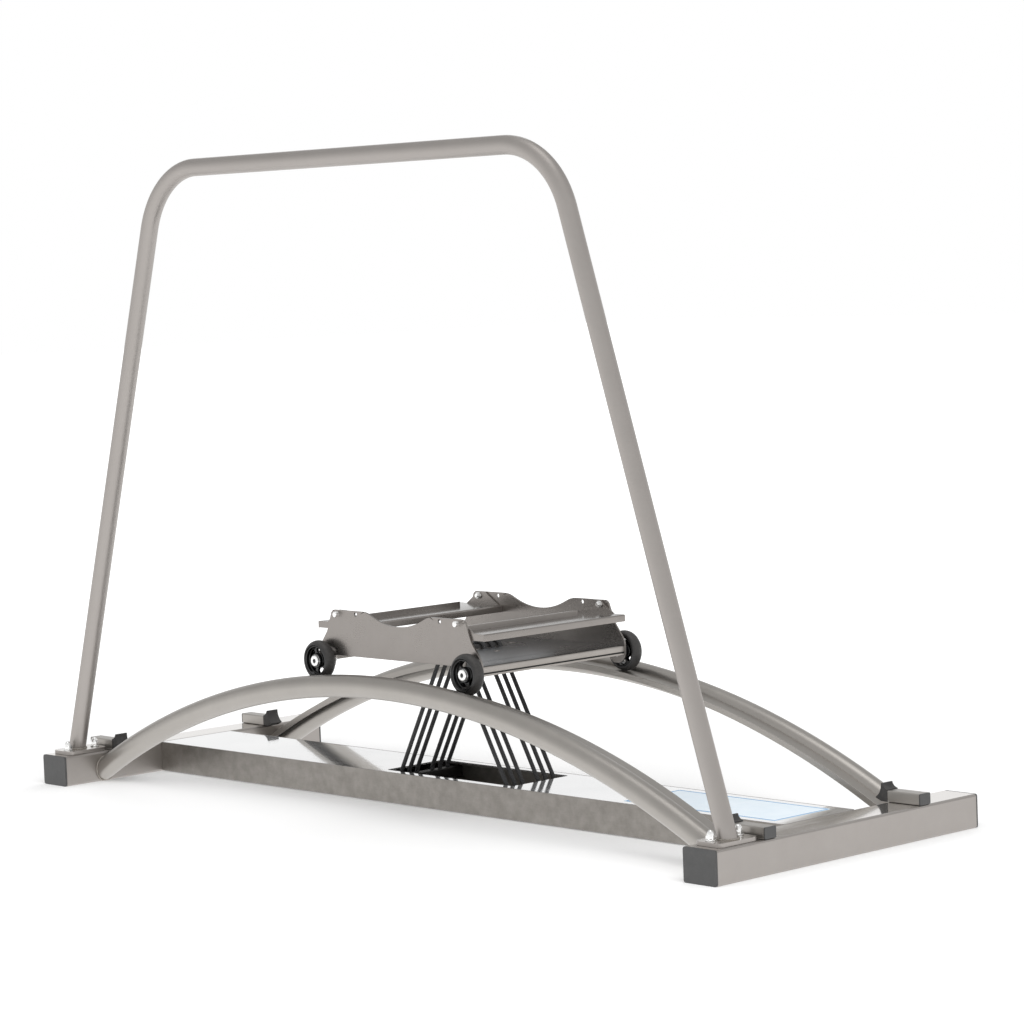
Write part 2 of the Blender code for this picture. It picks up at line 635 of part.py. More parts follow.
def make_foot_rails(pivot):
    """Folded channels, open below, with an upright fin. An end plate with an ear closes each end."""
    half = FOOT_RAIL_WIDTH / 2
    top, under = FOOT_RAIL_TOP, FOOT_RAIL_TOP - SHEET
    low, edge = top - FOOT_FLANGE, half - EAR_INSET
    overlap = SHEET / 4
    side_points = [(half, top), (half, low), (half - SHEET, low), (half - SHEET, under)]
    ear_points = [(EAR_TOP_OUT, PLATE_TOP), (EAR_BASE_OUT, top), (edge, top - EAR_INSET)]
    ear_points += [(edge, low + EAR_INSET), (-edge, low + EAR_INSET), (-edge, top - EAR_INSET)]
    ear_points += [(-EAR_BASE_IN, top), (-EAR_TOP_IN, PLATE_TOP)]
    for side, word in ((-1, "left"), (1, "right")):
        centre = side * FOOT_RAIL_X
        channel = [(centre + u, v) for u, v in mirrored(side_points)]
        rail = add(f"{word}_foot_rail", prism(channel, -CARRIAGE_HALF, CARRIAGE_HALF, "XZ"),
                   "brushed_steel", parent=pivot)
        fin = rectangle(SHEET, FIN_LENGTH, 0, (centre - side * FIN_SHIFT, 0))
        boolean(rail, prism(fin, under + overlap, top + FIN_HEIGHT, "XY"), "UNION")
        ear = [(centre + side * u, v) for u, v in ear_points]
        hole = circle(BOLT_RADIUS + HOLE_CLEARANCE, 10, (centre, CORNER_BOLT_Z))
        for end in (-1, 1):
            levels = sorted((end * (CARRIAGE_HALF - SHEET), end * CARRIAGE_HALF))
            boolean(rail, prism(ear, *levels, "XZ", [hole]), "UNION")


def make_tray(pivot):
    half = WHEEL_SPREAD + TRAY_OVERHANG
    top, under = TRAY_TOP, TRAY_TOP - TRAY_SHEET
    lip = top - TRAY_LIP
    edge = [(half, top), (half, lip), (half - TRAY_SHEET, lip), (half - TRAY_SHEET, under)]
    tray = add("bottom_tray", prism(mirrored(edge), -CARRIAGE_HALF, CARRIAGE_HALF, "XZ"),
               "brushed_steel", parent=pivot)
    near = cord_x_at(top, CORD_DIAMETER / 2) - SLOT_CLEARANCE
    far = cord_x_at(under, -CORD_DIAMETER / 2) + SLOT_CLEARANCE
    slot_length = 2 * (cord_places()[-1] + CORD_DIAMETER)
    cuts = []
    for side in (-1, 1):
        cuts.append(rectangle(far - near, slot_length, (far - near) / 4, (side * (near + far) / 2, 0)))
        cuts.append(circle(TRAY_HOLE, 10, (side * TRAY_HOLE_X, 0)))
        cuts.append(circle(TRAY_HOLE, 10, (0, side * TRAY_HOLE_Y)))
    boolean(tray, join([prism(cut, under - TRAY_SHEET, top + TRAY_SHEET, "XY") for cut in cuts]))

    low = TRAY_TOP + SEAT_GAP
    high = low + SADDLE_HEIGHT
    beside = CORD_DIAMETER / 2 + SEAT_GAP
    flank = [(cord_x_at(level, beside), level) for level in (low, high)]
    section = rounded([(*flank[0], 0), (*flank[1], CORD_TURN - beside),
                       (-flank[1][0], high, CORD_TURN - beside), (-flank[0][0], low, 0)])
    reach = cord_places()[-1] + SADDLE_MARGIN
    add("cord_saddle", prism(section, -reach, reach, "XZ"), "black_rubber", parent=pivot)


def make_corner_bolts(pivot):
    """Bolts along Y that hold the foot rails' ears to the side plates."""
    outer = PLATE_OUTER + SEAT_GAP
    nut = CARRIAGE_HALF - SHEET - SEAT_GAP
    back, head = nut - NUT_HEIGHT, outer + BOLT_HEAD
    stations = [(back - STUB, BOLT_RADIUS * 0.85, False), (back, BOLT_RADIUS, False),
                (back, NUT_RADIUS, True), (nut, NUT_RADIUS, True),
                (nut, BOLT_RADIUS, False), (outer, BOLT_RADIUS, False),
                (outer, BOLT_HEAD_RADIUS, False), (head, BOLT_HEAD_RADIUS, False),
                (head, SOCKET_RADIUS * 0.7, True), (head - SOCKET_DEPTH, SOCKET_RADIUS * 0.7, True)]
    for side, word in ((-1, "left"), (1, "right")):
        for end, place in ((-1, "front"), (1, "rear")):
            spot = (side * FOOT_RAIL_X, 0, CORNER_BOLT_Z)
            turn = (-end * math.pi / 2, 0, 0)
            add(f"{place}_{word}_corner_bolt", turned(stations), "bright_zinc", spot, turn, pivot)


def make_axles(pivot):
    """A short shaft for each wheel, with a spacer and a nut on either side of the plate and an end cap."""
    inner = WHEEL_OFFSET - HUB_WIDTH / 2 - RUNNING_GAP
    head = WHEEL_OFFSET + HUB_WIDTH / 2 + RUNNING_GAP
    end_face = head + AXLE_HEAD
    outer = PLATE_OUTER + SEAT_GAP
    nut = PLATE_INNER - SEAT_GAP
    back = nut - NUT_HEIGHT
    stations = [(back - AXLE_CAP, AXLE_CAP_RADIUS * 0.8, False),
                (back - AXLE_CAP * 0.85, AXLE_CAP_RADIUS, False), (back, AXLE_CAP_RADIUS, False),
                (back, NUT_RADIUS, True), (nut, NUT_RADIUS, True), (nut, AXLE_RADIUS, False),
                (outer, AXLE_RADIUS, False), (outer, SPACER_RADIUS, False),
                (inner, SPACER_RADIUS, False), (inner, AXLE_RADIUS, False), (head, AXLE_RADIUS, False),
                (head, AXLE_HEAD_RADIUS, False), (end_face, AXLE_HEAD_RADIUS * 0.94, False),
                (end_face, SOCKET_RADIUS, True), (end_face - SOCKET_DEPTH, SOCKET_RADIUS, True)]
    for side, word in ((-1, "left"), (1, "right")):
        for end, place in ((-1, "front"), (1, "rear")):
            add(f"{place}_{word}_axle", turned(stations), "bright_zinc", (side * WHEEL_SPREAD, 0, AXLE_Z),
                (-end * math.pi / 2, 0, 0), pivot)


def tyre_outline():
    """Closed (radius, offset) profile: flat against the core, then an ellipse over the tread."""
    rim, half = WHEEL_DIAMETER / 2, WHEEL_WIDTH / 2
    side = [(CORE_RADIUS + SEAT_GAP, -CORE_WIDTH / 2)]
    for k in range(TYRE_STEPS):
        turn = math.pi / 2 * k / TYRE_STEPS
        side.append((TYRE_FLANK + (rim - TYRE_FLANK) * math.sin(turn), -half * math.cos(turn)))
    return side + [(rim, 0)] + [(radius, -offset) for radius, offset in reversed(side)]


def core_outline():
    """Closed (radius, offset) profile: the hub, the web and the rim."""
    bore, lip = AXLE_RADIUS + HOLE_CLEARANCE, CORE_RADIUS - CORE_RIM
    hub_half, web_half, core_half = HUB_WIDTH / 2, CORE_WEB / 2, CORE_WIDTH / 2
    edge = [(bore, -hub_half), (HUB_RADIUS, -hub_half), (HUB_RADIUS, -web_half), (lip, -web_half),
            (lip, -core_half), (CORE_RADIUS, -core_half)]
    return edge + [(radius, -offset) for radius, offset in reversed(edge)]


def make_wheels(pivot):
    gaps = []
    middle = (HUB_RADIUS + CORE_RADIUS - CORE_RIM) / 2
    for k in range(SPOKE_GAPS):
        angle = 2 * math.pi * (k + 0.5) / SPOKE_GAPS
        centre = (middle * math.cos(angle), middle * math.sin(angle))
        gaps.append(circle(SPOKE_GAP_RADIUS, 6, centre))
    for side, word in ((-1, "left"), (1, "right")):
        for end, place in ((-1, "front"), (1, "rear")):
            spot = (side * WHEEL_SPREAD, end * WHEEL_OFFSET, AXLE_Z)
            hub = bpy.data.objects.new(f"{place}_{word}_wheel_axis", None)
            bpy.context.collection.objects.link(hub)
            hub.location = spot
            attach(hub, pivot)
            add(f"{place}_{word}_tyre", spun(tyre_outline(), WHEEL_STEPS), "black_rubber", spot,
                parent=hub, smooth=50)
            body = add(f"{place}_{word}_wheel_core", spun(core_outline(), WHEEL_STEPS),
                       "core_plastic", spot, parent=hub)
            boolean(body, join([prism(gap, -CORE_WEB, CORE_WEB, "XZ") for gap in gaps]))


# The cords

def cord_places():
    """The cords' places along Y, from front to back."""
    outermost = OPENING_WIDTH / 2 - CORD_MARGIN
    group = [outermost - k * CORD_PITCH for k in range(CORDS_PER_GROUP)]
    return [-y for y in group] + group[::-1]


def cord_x_at(height, beside=0.0):
    """Where a line beside a right-hand leg's centre line, on its inner side, passes a height."""
    slope = (CORD_SHOULDER - CORD_SPREAD) / (CORD_TOP - CORD_KNEE)
    return CORD_SPREAD + slope * (height - CORD_KNEE) - beside * math.hypot(1, slope)


def make_cords():
    """Each cord is one piece: out of one anchor bar, over the saddle and into the other bar."""
    low = ANCHOR_TOP - ANCHOR_DEPTH + SEAT_GAP
    right = [(CORD_SPREAD, low, 0), (CORD_SPREAD, CORD_KNEE, KNEE_TURN)]
    right.append((CORD_SHOULDER, CORD_TOP, CORD_TURN))
    corners = right + [(-u, v, r) for u, v, r in reversed(right)]
    route = rounded(corners, math.radians(20))
    for index, y in enumerate(cord_places()):
        curve = bpy.data.curves.new(f"elastic_cord_{index + 1}", "CURVE")
        curve.dimensions = "3D"
        curve.bevel_depth = CORD_DIAMETER / 2
        curve.bevel_resolution = 2
        curve.use_fill_caps = True
        line = curve.splines.new("POLY")
        line.points.add(len(route) - 1)
        for point, (u, v) in zip(line.points, route):
            point.co = (u, y, v, 1)
        curve.materials.append(finishes["cord_fabric"])
        cord = bpy.data.objects.new(curve.name, curve)
        bpy.context.collection.objects.link(cord)


def stop_angle():
    """Carriage angle at which a wheel's tread comes to its bumper."""
    ridge = Vector((STOP_INNER - SEAT_GAP - BUMPER_RIDGE_X, BEAM_HEIGHT + SEAT_GAP + BUMPER_HEIGHT))
    reach = WHEEL_DIAMETER / 2 + 0.001
    half_spread = math.asin(WHEEL_SPREAD / AXLE_PATH_RADIUS)
    angle = 0.0
    while True:
        ahead = angle + half_spread
        hub = Vector((AXLE_PATH_RADIUS * math.sin(ahead), PIVOT_Z + AXLE_PATH_RADIUS * math.cos(ahead)))
        if (ridge - hub).length < reach:
            return math.degrees(angle)
        angle += math.radians(0.02)


clear_scene()
finishes = make_finishes()
make_beams()
make_base()
make_anchor_bars()
make_rails()
make_hoop()
make_stops()

carriage_pivot = bpy.data.objects.new("carriage_pivot", None)
bpy.context.collection.objects.link(carriage_pivot)
carriage_pivot.location = (0, 0, PIVOT_Z)
make_side_plates(carriage_pivot)
make_foot_rails(carriage_pivot)
make_tray(carriage_pivot)
make_corner_bolts(carriage_pivot)
make_axles(carriage_pivot)
make_wheels(carriage_pivot)
make_cords()

print("arch centre height", round(PIVOT_Z, 5))
print("axle height", round(AXLE_Z, 5))
print("wheel turns per carriage turn", round(TRACK_RADIUS / (WHEEL_DIAMETER / 2), 4))
print("carriage reaches its bumpers at", round(stop_angle(), 2), "degrees")
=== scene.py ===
import bmesh
import bpy
import math
from mathutils import Matrix, Vector


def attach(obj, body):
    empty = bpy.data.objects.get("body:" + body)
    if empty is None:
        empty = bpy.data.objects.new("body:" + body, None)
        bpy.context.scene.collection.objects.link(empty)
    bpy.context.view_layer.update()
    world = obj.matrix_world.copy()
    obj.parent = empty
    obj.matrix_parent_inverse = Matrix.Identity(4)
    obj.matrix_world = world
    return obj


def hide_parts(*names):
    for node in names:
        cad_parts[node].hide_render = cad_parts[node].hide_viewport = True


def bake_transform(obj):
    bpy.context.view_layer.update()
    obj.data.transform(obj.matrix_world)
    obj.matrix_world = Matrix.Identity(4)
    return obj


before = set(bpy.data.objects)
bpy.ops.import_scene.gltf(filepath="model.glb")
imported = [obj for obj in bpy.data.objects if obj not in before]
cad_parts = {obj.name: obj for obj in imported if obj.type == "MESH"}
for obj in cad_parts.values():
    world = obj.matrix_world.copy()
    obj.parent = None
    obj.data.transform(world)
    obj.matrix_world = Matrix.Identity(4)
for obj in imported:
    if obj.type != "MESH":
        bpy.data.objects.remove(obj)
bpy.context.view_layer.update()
print("frame loaded,", len(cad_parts), "nodes")

sides = (("left", -1), ("right", 1))    # along X
ends = (("front", -1), ("rear", 1))     # along Y
cornerNames = [(place, hand) for place, _ in ends for hand, _ in sides]
seatGap = 0.0003      # between pieces that touch, as in the construction
boltHole = 0.0045     # radius of the holes for shanks of 8 mm
deck = 0.060          # top of the beams and of the polished plate
railOffset = 0.235    # from the middle to the rails' centre lines, along Y

# camera, as the photograph was taken
cameraSetup = {
    "place": (4.6013, -4.1821, 1.0333),
    "azimuth": 46.946,      # degrees round the object, 0 looks along +Y
    "elevation": 4.447, "roll": -2.178,
    "focalPixels": 3328.2,  # for an image 1024 wide
    "imageWidth": 1024,
}


def addObject(name, data):
    item = bpy.data.objects.new(name, data)
    bpy.context.scene.collection.objects.link(item)
    return item


def makeCamera(setup):
    data = bpy.data.cameras.new("camera")
    data.sensor_width = 36
    data.lens = setup["focalPixels"] / setup["imageWidth"] * data.sensor_width
    azimuth, elevation, roll = (math.radians(setup[key]) for key in ("azimuth", "elevation", "roll"))
    flat = math.cos(elevation)
    back = Vector((math.sin(azimuth) * flat, -math.cos(azimuth) * flat, math.sin(elevation)))
    level = Vector((math.cos(azimuth), math.sin(azimuth), 0))
    upright = back.cross(level)
    right = math.cos(roll) * level + math.sin(roll) * upright
    up = math.cos(roll) * upright - math.sin(roll) * level
    camera = addObject("camera", data)
    turn = Matrix((right, up, back)).transposed().to_4x4()
    camera.matrix_world = Matrix.Translation(setup["place"]) @ turn
    data.clip_start, data.clip_end = 0.1, 100
    bpy.context.scene.camera = camera


makeCamera(cameraSetup)
print("camera in place")


def operator(operation, swapped=False):
    def apply(field, other):
        first, second = (other, field) if swapped else (field, other)
        return field.board.node("Math", {0: first, 1: second}, {"operation": operation})
    return apply


# A value that changes over a surface. Python's own operators on it add Math nodes.
class Field:
    __add__, __radd__ = operator("ADD"), operator("ADD", True)
    __sub__, __rsub__ = operator("SUBTRACT"), operator("SUBTRACT", True)
    __mul__, __rmul__ = operator("MULTIPLY"), operator("MULTIPLY", True)
    __pow__, above, most = operator("POWER"), operator("GREATER_THAN"), operator("MAXIMUM")

    def __init__(self, board, socket):
        self.board, self.socket = board, socket

    def other(self, name):
        return Field(self.board, self.socket.node.outputs[name])

    def sine(self):
        return self.board.node("Math", {0: self}, {"operation": "SINE"})

    def size(self):
        return self.board.node("Math", {0: self}, {"operation": "ABSOLUTE"})

    def spread(self, low, high, toLow=0.0, toHigh=1.0):
        return self.board.node("MapRange", {
            "Value": self, "From Min": low, "From Max": high, "To Min": toLow, "To Max": toHigh},
            {"clamp": True})


# The node tree of one material or of the world
class Board:
    def __init__(self, tree):
        self.tree = tree
        tree.nodes.clear()

    def node(self, kind, values={}, settings={}, output=0):
        made = self.tree.nodes.new("ShaderNode" + kind)
        for key, value in settings.items():
            setattr(made, key, value)
        for key, value in values.items():
            if isinstance(value, Field):
                self.tree.links.new(value.socket, made.inputs[key])
            else:
                made.inputs[key].default_value = value
        return Field(self, made.outputs[output]) if made.outputs else made

    def place(self, source="Object"):
        return self.node("TexCoord").other(source)

    def parts(self, source="Object"):
        # X; Y and Z are its others
        return self.node("SeparateXYZ", {"Vector": self.place(source)})

    def noise(self, scale, detail=3.0, roughness=0.55, stretch=None, turn=(0, 0, 0), warp=0.0):
        spot = self.place()
        if stretch:
            spot = self.node("Mapping", {"Vector": spot, "Scale": stretch, "Rotation": turn})
        return self.node("TexNoise", {"Vector": spot, "Scale": scale, "Detail": detail,
                                      "Roughness": roughness, "Distortion": warp})

    def mix(self, share, first, second):
        first, second = (paint(shade) if isinstance(shade, tuple) else shade for shade in (first, second))
        return self.node("Mix", {0: share, 6: first, 7: second}, {"data_type": "RGBA"}, 2)

    def close(self, base, rough, relief, depth, extra={}):
        bump = self.node("Bump", {"Height": relief, "Distance": depth, "Strength": 1.0})
        values = {"Base Color": base, "Roughness": rough, "Normal": bump}
        self.node("OutputMaterial", {"Surface": self.node("BsdfPrincipled", {**values, **extra})})


def paint(levels):
    # linear colour of sRGB values from 0 to 255
    def linear(level):
        level /= 255
        return level / 12.92 if level < 0.04045 else ((level + 0.055) / 1.055) ** 2.4
    return (*(linear(level) for level in levels), 1)


finishes = {}


def newFinish(name):
    finishes[name] = bpy.data.materials.new(name)
    finishes[name].use_nodes = True
    return Board(finishes[name].node_tree)


# Metals. Each has grain along one way, cloudy patches, fine scratches and smudges. Faces that point up can
# have a polish of their own and a painted tone: a painted reflection, lighter, on the beams and the hoop,
# and painted shade, darker, on the carriage and the tray.
metals = {
    "beamSteel": {"tone": (162, 157, 153), "dark": (155, 150, 146), "rough": 0.36, "grain": (1, 0.03, 1),
                  "cloud": 24.0, "top": (216, 212, 208), "topRough": 0.09},
    # the box's tone is painted shade: darker than the beams' steel, for the dimmer light its front face
    # gets near the floor
    "boxSteel": {"tone": (148, 144, 139), "dark": (119, 115, 110), "rough": 0.36, "grain": (0.05, 1, 1),
                 "cloud": 46.0},
    "railSteel": {"tone": (169, 165, 160), "dark": (160, 156, 151), "rough": 0.34, "grain": (0.04, 1, 1),
                  "cloud": 16.0},
    "hoopSteel": {"tone": (169, 164, 160), "dark": (162, 157, 153), "rough": 0.44, "grain": (1, 1, 0.04),
                  "cloud": 14.0, "top": (206, 202, 198), "topRough": 0.14},
    "carriageSteel": {"tone": (149, 144, 140), "dark": (141, 136, 132), "rough": 0.28,
                      "grain": (0.05, 0.05, 1), "cloud": 28.0, "top": (122, 119, 116), "topRough": 0.17},
    "traySteel": {"tone": (168, 163, 158), "dark": (158, 153, 148), "rough": 0.30, "grain": (1, 0.04, 1),
                  "cloud": 26.0, "top": (110, 112, 115), "topRough": 0.27},
    "weldSteel": {"tone": (166, 161, 154), "dark": (146, 140, 133), "rough": 0.34, "grain": (1, 1, 1),
                  "cloud": 150.0, "metallic": 0.9},
    # dark steel of the anchor bars; on the tray it is painted shade in the lip's groove
    "darkSteelAndGrooveShade": {"tone": (50, 49, 48), "dark": (34, 33, 32), "rough": 0.45, "grain": (1, 0.05, 1),
                  "cloud": 60.0, "metallic": 0.6},
}
brushed = {
    "metallic": 0.92,         # of a metal that doesn't say otherwise
    "grainScale": 900.0,      # brush lines in a metre, across the grain
    "grainDepth": 0.000007, "scratchScale": 70.0, "scratchTurn": (0.3, 0.5, 0.9),
}

# Places that have a tone of their own: inside the folded box; and painted shade under the running strips,
# where the strip shades the tube
boxInside = {"half": 0.0875, "top": 0.0535}
pocket = {"strip": 0.2155, "tube": 0.2, "flankFacing": (0.88, 0.95), "downFacing": (0.03, 0.12)}


def boxHollow(board):
    spot = board.parts()
    outside, over = spot.other("Y").size().above(boxInside["half"]), spot.other("Z").above(boxInside["top"])
    return (1 - outside) * (1 - over)


def paintedRailShade(board):
    # painted shade on the strip's own underside and leg, and on the tube's flank beside them
    facing = board.parts("Normal")
    across, down = board.parts().other("Y"), -1 * facing.other("Z")
    inward = across * facing.other("Y") * (-1 / railOffset)
    under = (1 - across.size().above(pocket["strip"])) * down.above(0.5)
    behind = (1 - across.size().above(pocket["tube"])) * (-1 * inward).above(0.4)
    flank = inward.spread(*pocket["flankFacing"]) * down.spread(*pocket["downFacing"])
    return under.most(behind).most(flank * 0.8)


# the rail's dark tone in these places is painted shade
hollows = {"boxSteel": {"find": boxHollow, "tone": (172, 170, 168), "dull": True},
           "railSteel": {"find": paintedRailShade, "tone": (72, 70, 68), "dull": False}}


def makeMetal(name, look):
    board = newFinish(name)
    cloud = board.noise(look["cloud"], 4.0, 0.6)
    grain = board.noise(brushed["grainScale"], 2.0, 0.6, look["grain"])
    scratches = board.noise(brushed["scratchScale"], 2.0, 0.4, (1, 0.02, 1), brushed["scratchTurn"])
    scratches = scratches.spread(0.66, 0.70)
    smudge = board.noise(7.0, 2.0, 0.5).spread(0.40, 0.72)
    base = board.mix(cloud.spread(0.32, 0.70) * 0.6 + grain * 0.4, look["dark"], look["tone"])
    rough = look["rough"] + (cloud - 0.5) * 0.10 + (grain - 0.5) * 0.08 + smudge * 0.04 + scratches * 0.02
    metallic = look.get("metallic", brushed["metallic"])
    # painted light: up-facing faces get the top tone, a painted reflection where it is lighter and painted
    # shade where it is darker
    if "top" in look:
        flat = board.parts("Normal").other("Z").spread(0.90, 0.99)
        base = board.mix(flat, base, look["top"])
        polish = look["topRough"] + (cloud - 0.5) * 0.05 + smudge * 0.05 + scratches * 0.05
        rough = rough + flat * (polish - rough)
    if name in hollows:
        hollow = hollows[name]["find"](board)
        base = board.mix(hollow, base, hollows[name]["tone"])
        rough = rough + hollow * 0.3
        if hollows[name]["dull"]:
            metallic = metallic * (1 - hollow)
    board.close(base, rough, grain + scratches * -0.1, brushed["grainDepth"], {"Metallic": metallic})


def makePolishedPlate():
    # mirror finish with faint wipe marks and hairlines
    board = newFinish("polishedPlate")
    wipe = board.noise(22.0, 4.0, 0.6, (0.25, 1, 1), (0, 0, 0.2), 0.6).spread(0.42, 0.78)
    hairline = board.noise(1400.0, 1.0, 0.55, (0.01, 1, 1), (0, 0, 0.06)).spread(0.62, 0.7)
    film = board.noise(5.0).spread(0.35, 0.75)
    base = board.mix(film * 0.5, (236, 236, 236), (222, 223, 224))
    rough = 0.035 + wipe * 0.05 + hairline * 0.06 + film * 0.02
    board.close(base, rough, wipe + hairline, 0.000004, {"Metallic": 0.84 - film * 0.06})


def makeZinc():
    board = newFinish("brightZinc")
    spangle = board.noise(420.0, 3.0, 0.6)
    film = board.noise(90.0, 2.0).spread(0.35, 0.7)
    base = board.mix(spangle.spread(0.3, 0.7), (232, 232, 231), (248, 248, 247))
    board.close(base, 0.12 + (spangle - 0.5) * 0.10 + film * 0.08, spangle, 0.00001, {"Metallic": 0.85})


# Plastics and rubbers
mouldings = {
    "capPlastic": {"tone": (75, 75, 75), "dark": (65, 65, 65), "rough": 0.50, "pebble": 1500.0,
                   "pebbleDepth": 0.00008, "dust": 0.05},
    "bumperRubber": {"tone": (62, 61, 60), "dark": (44, 43, 43), "rough": 0.62, "pebble": 900.0,
                     "pebbleDepth": 0.00010, "dust": 0.12},
    "saddleRubber": {"tone": (44, 43, 43), "dark": (32, 31, 31), "rough": 0.66, "pebble": 1100.0,
                     "pebbleDepth": 0.00008, "dust": 0.08},
    "corePlastic": {"tone": (24, 24, 25), "dark": (14, 14, 15), "rough": 0.16, "pebble": 500.0,
                    "pebbleDepth": 0.00002, "dust": 0.02},
    # painted shade: only the dark plugs in the axle sockets use this
    "paintedSocketShade": {"tone": (30, 30, 30), "dark": (20, 20, 20), "rough": 0.5, "pebble": 2000.0,
                   "pebbleDepth": 0.00003, "dust": 0.02},
}


def makeMoulding(name, look):
    board = newFinish(name)
    pebble = board.noise(look["pebble"], 2.0, 0.5)
    patch = board.noise(48.0, 4.0, 0.6)
    dust = board.noise(130.0, 5.0, 0.7).spread(0.50, 0.80) * look["dust"]
    base = board.mix(patch.spread(0.3, 0.7), look["dark"], look["tone"])
    rough = look["rough"] + (patch - 0.5) * 0.16 + (pebble - 0.5) * 0.10 + dust * 0.6
    board.close(board.mix(dust, base, (150, 147, 142)), rough, pebble + patch * 0.4, look["pebbleDepth"])


# the tread tone is painted light: lighter than the side wall, as if lit from above
tyreLook = {"wall": (22, 21, 21), "wallRough": 0.22, "tread": (58, 56, 55), "treadDark": (45, 44, 43),
            "treadRough": 0.52, "litTreadFrom": 0.0305, "litTreadTo": 0.0362}


def makeTyreRubber(look):
    # glossy black beside the core, and painted light on the tread, lighter grey as if lit; measured from
    # the nearest axle
    board = newFinish("tyreRubber")
    spot = board.parts()
    across = spot.size() - carriageSetup["axleX"]
    up = spot.other("Z") - carriageSetup["axleZ"]
    reach = (across * across + up * up) ** 0.5
    scuff = board.noise(260.0, 4.0, 0.65)
    # painted light: the tread is lighter grey from here outwards
    litTread = (reach + (scuff - 0.5) * 0.0024).spread(look["litTreadFrom"], look["litTreadTo"])
    tread = board.mix(scuff.spread(0.35, 0.7), look["tread"], look["treadDark"])
    rough = look["wallRough"] + litTread * (look["treadRough"] - look["wallRough"]) + (scuff - 0.5) * 0.1
    board.close(board.mix(litTread, look["wall"], tread), rough, scuff * litTread, 0.00006)


braid = {"strands": 12, "lay": 0.011, "tone": (70, 70, 71), "dark": (24, 24, 25),
         "fleck": (100, 100, 100)}


def makeCordFabric(look, length):
    # two sets of strands that cross over and under each other, in the sleeve's own coordinates
    board = newFinish("cordFabric")
    sleeve = board.parts("UV")
    around = sleeve * (2 * math.pi * look["strands"] / 2)
    along = sleeve.other("Y") * (2 * math.pi * length / look["lay"] * look["strands"] / 6)
    over = ((around + along).sine() * (around - along).sine()).spread(-0.9, 0.9)
    fibre = board.noise(2600.0, 2.0, 0.6)
    wear = board.noise(60.0).spread(0.55, 0.8)
    shade = board.mix(over * 0.8 + fibre * 0.2, look["dark"], look["tone"])
    base = board.mix(wear * over * 0.35, shade, look["fleck"])
    board.close(base, 0.78 + (fibre - 0.5) * 0.2 - over * 0.12, over + fibre * 0.3, 0.0004)


panel = {"centre": (0.643, -0.001), "length": 0.362, "width": 0.144, "lift": 0.00002, "thick": 0.0002,
         "corner": 0.004, "border": 0.006, "line": 0.0028}


def makePanelFinish(look):
    # plain printed panel: pale field inside a thin border
    board = newFinish("panelPrint")
    spot = board.parts("UV")

    def within(inset):
        # 1 where all four edges are further away than the inset
        past = [(way - 0.5).size().above(0.5 - inset / look[key])
                for way, key in ((spot, "length"), (spot.other("Y"), "width"))]
        return (1 - past[0]) * (1 - past[1])

    inner, outer = within(look["border"]), within(look["border"] - look["line"])
    film = board.noise(30.0, 4.0).spread(0.3, 0.75)
    field = board.mix(film, (222, 234, 243), (230, 239, 246))
    base = board.mix(outer - inner, board.mix(outer, (196, 219, 236), field), (66, 134, 190))
    board.close(base, 0.48 + film * 0.12, film, 0.00001, {"Specular IOR Level": 0.2})


# Carriage, with the sizes of the construction; heights are above the axles
carriageSetup = {
    "axleX": 0.206, "axleZ": 0.28271, "plateOuter": 0.18363, "plateInner": 0.17963, "half": 0.17933,
    "plateRise": 0.0958, "valleyRise": 0.0723, "valleyRadius": 0.165, "valleySlope": math.radians(24),
    "bottomRise": 0.0098, "shoulderInset": 0.021, "waistInset": 0.0055, "waistRise": 0.0553,
    "lobe": 0.021, "spareInset": 0.089, "spareRise": 0.0893, "spareHole": 0.004, "boltX": 0.1675,
    "boltZ": 0.37051, "footX": 0.1675, "footWidth": 0.127, "footTop": 0.35401, "flange": 0.013,
    "sheet": 0.003,
    "fold": 0.0028,        # outer radius of the folds
    "fin": 0.010, "finEnds": (-0.1762, 0.121), "finShift": 0.0045, "earTop": (0.017, 0.002),
    "earBase": (0.055, 0.036), "earInset": 0.0004, "trayTop": 0.29551, "traySheet": 0.0025,
    "trayOver": 0.019, "trayLip": 0.0180, "trayHem": 0.0035, "trayGroove": 0.0012, "trayHole": 0.007,
    "trayHoleX": 0.070, "trayHoleY": 0.104, "slotX": (0.0104, 0.0233), "slotHalf": 0.0675,
}

# Cord sizes, as in the construction
cordSetup = {
    "diameter": 0.008,
    "places": (-0.0595, -0.0395, -0.0195, 0.0195, 0.0395, 0.0595),  # along Y
    "spread": 0.1475,      # the legs' feet, from the middle
    "footZ": 0.0366,
    "exitZ": 0.0503,       # top of the anchor bars
    "kneeZ": 0.0563, "kneeTurn": 0.017, "shoulder": 0.010, "topZ": 0.30661, "topTurn": 0.016,
    "step": 0.0025,        # between rings
    "around": 20,
    "calm": 0.020,         # the rings lie flat this near the ends
    "bendFrom": 0.0615,    # heights for shares along a leg, worked out in makeCord and not used
    "bendTo": 0.2915, "bendPower": 0.8,
}


def mirrored(points):
    return [(-u, *rest) for u, *rest in reversed(points)]


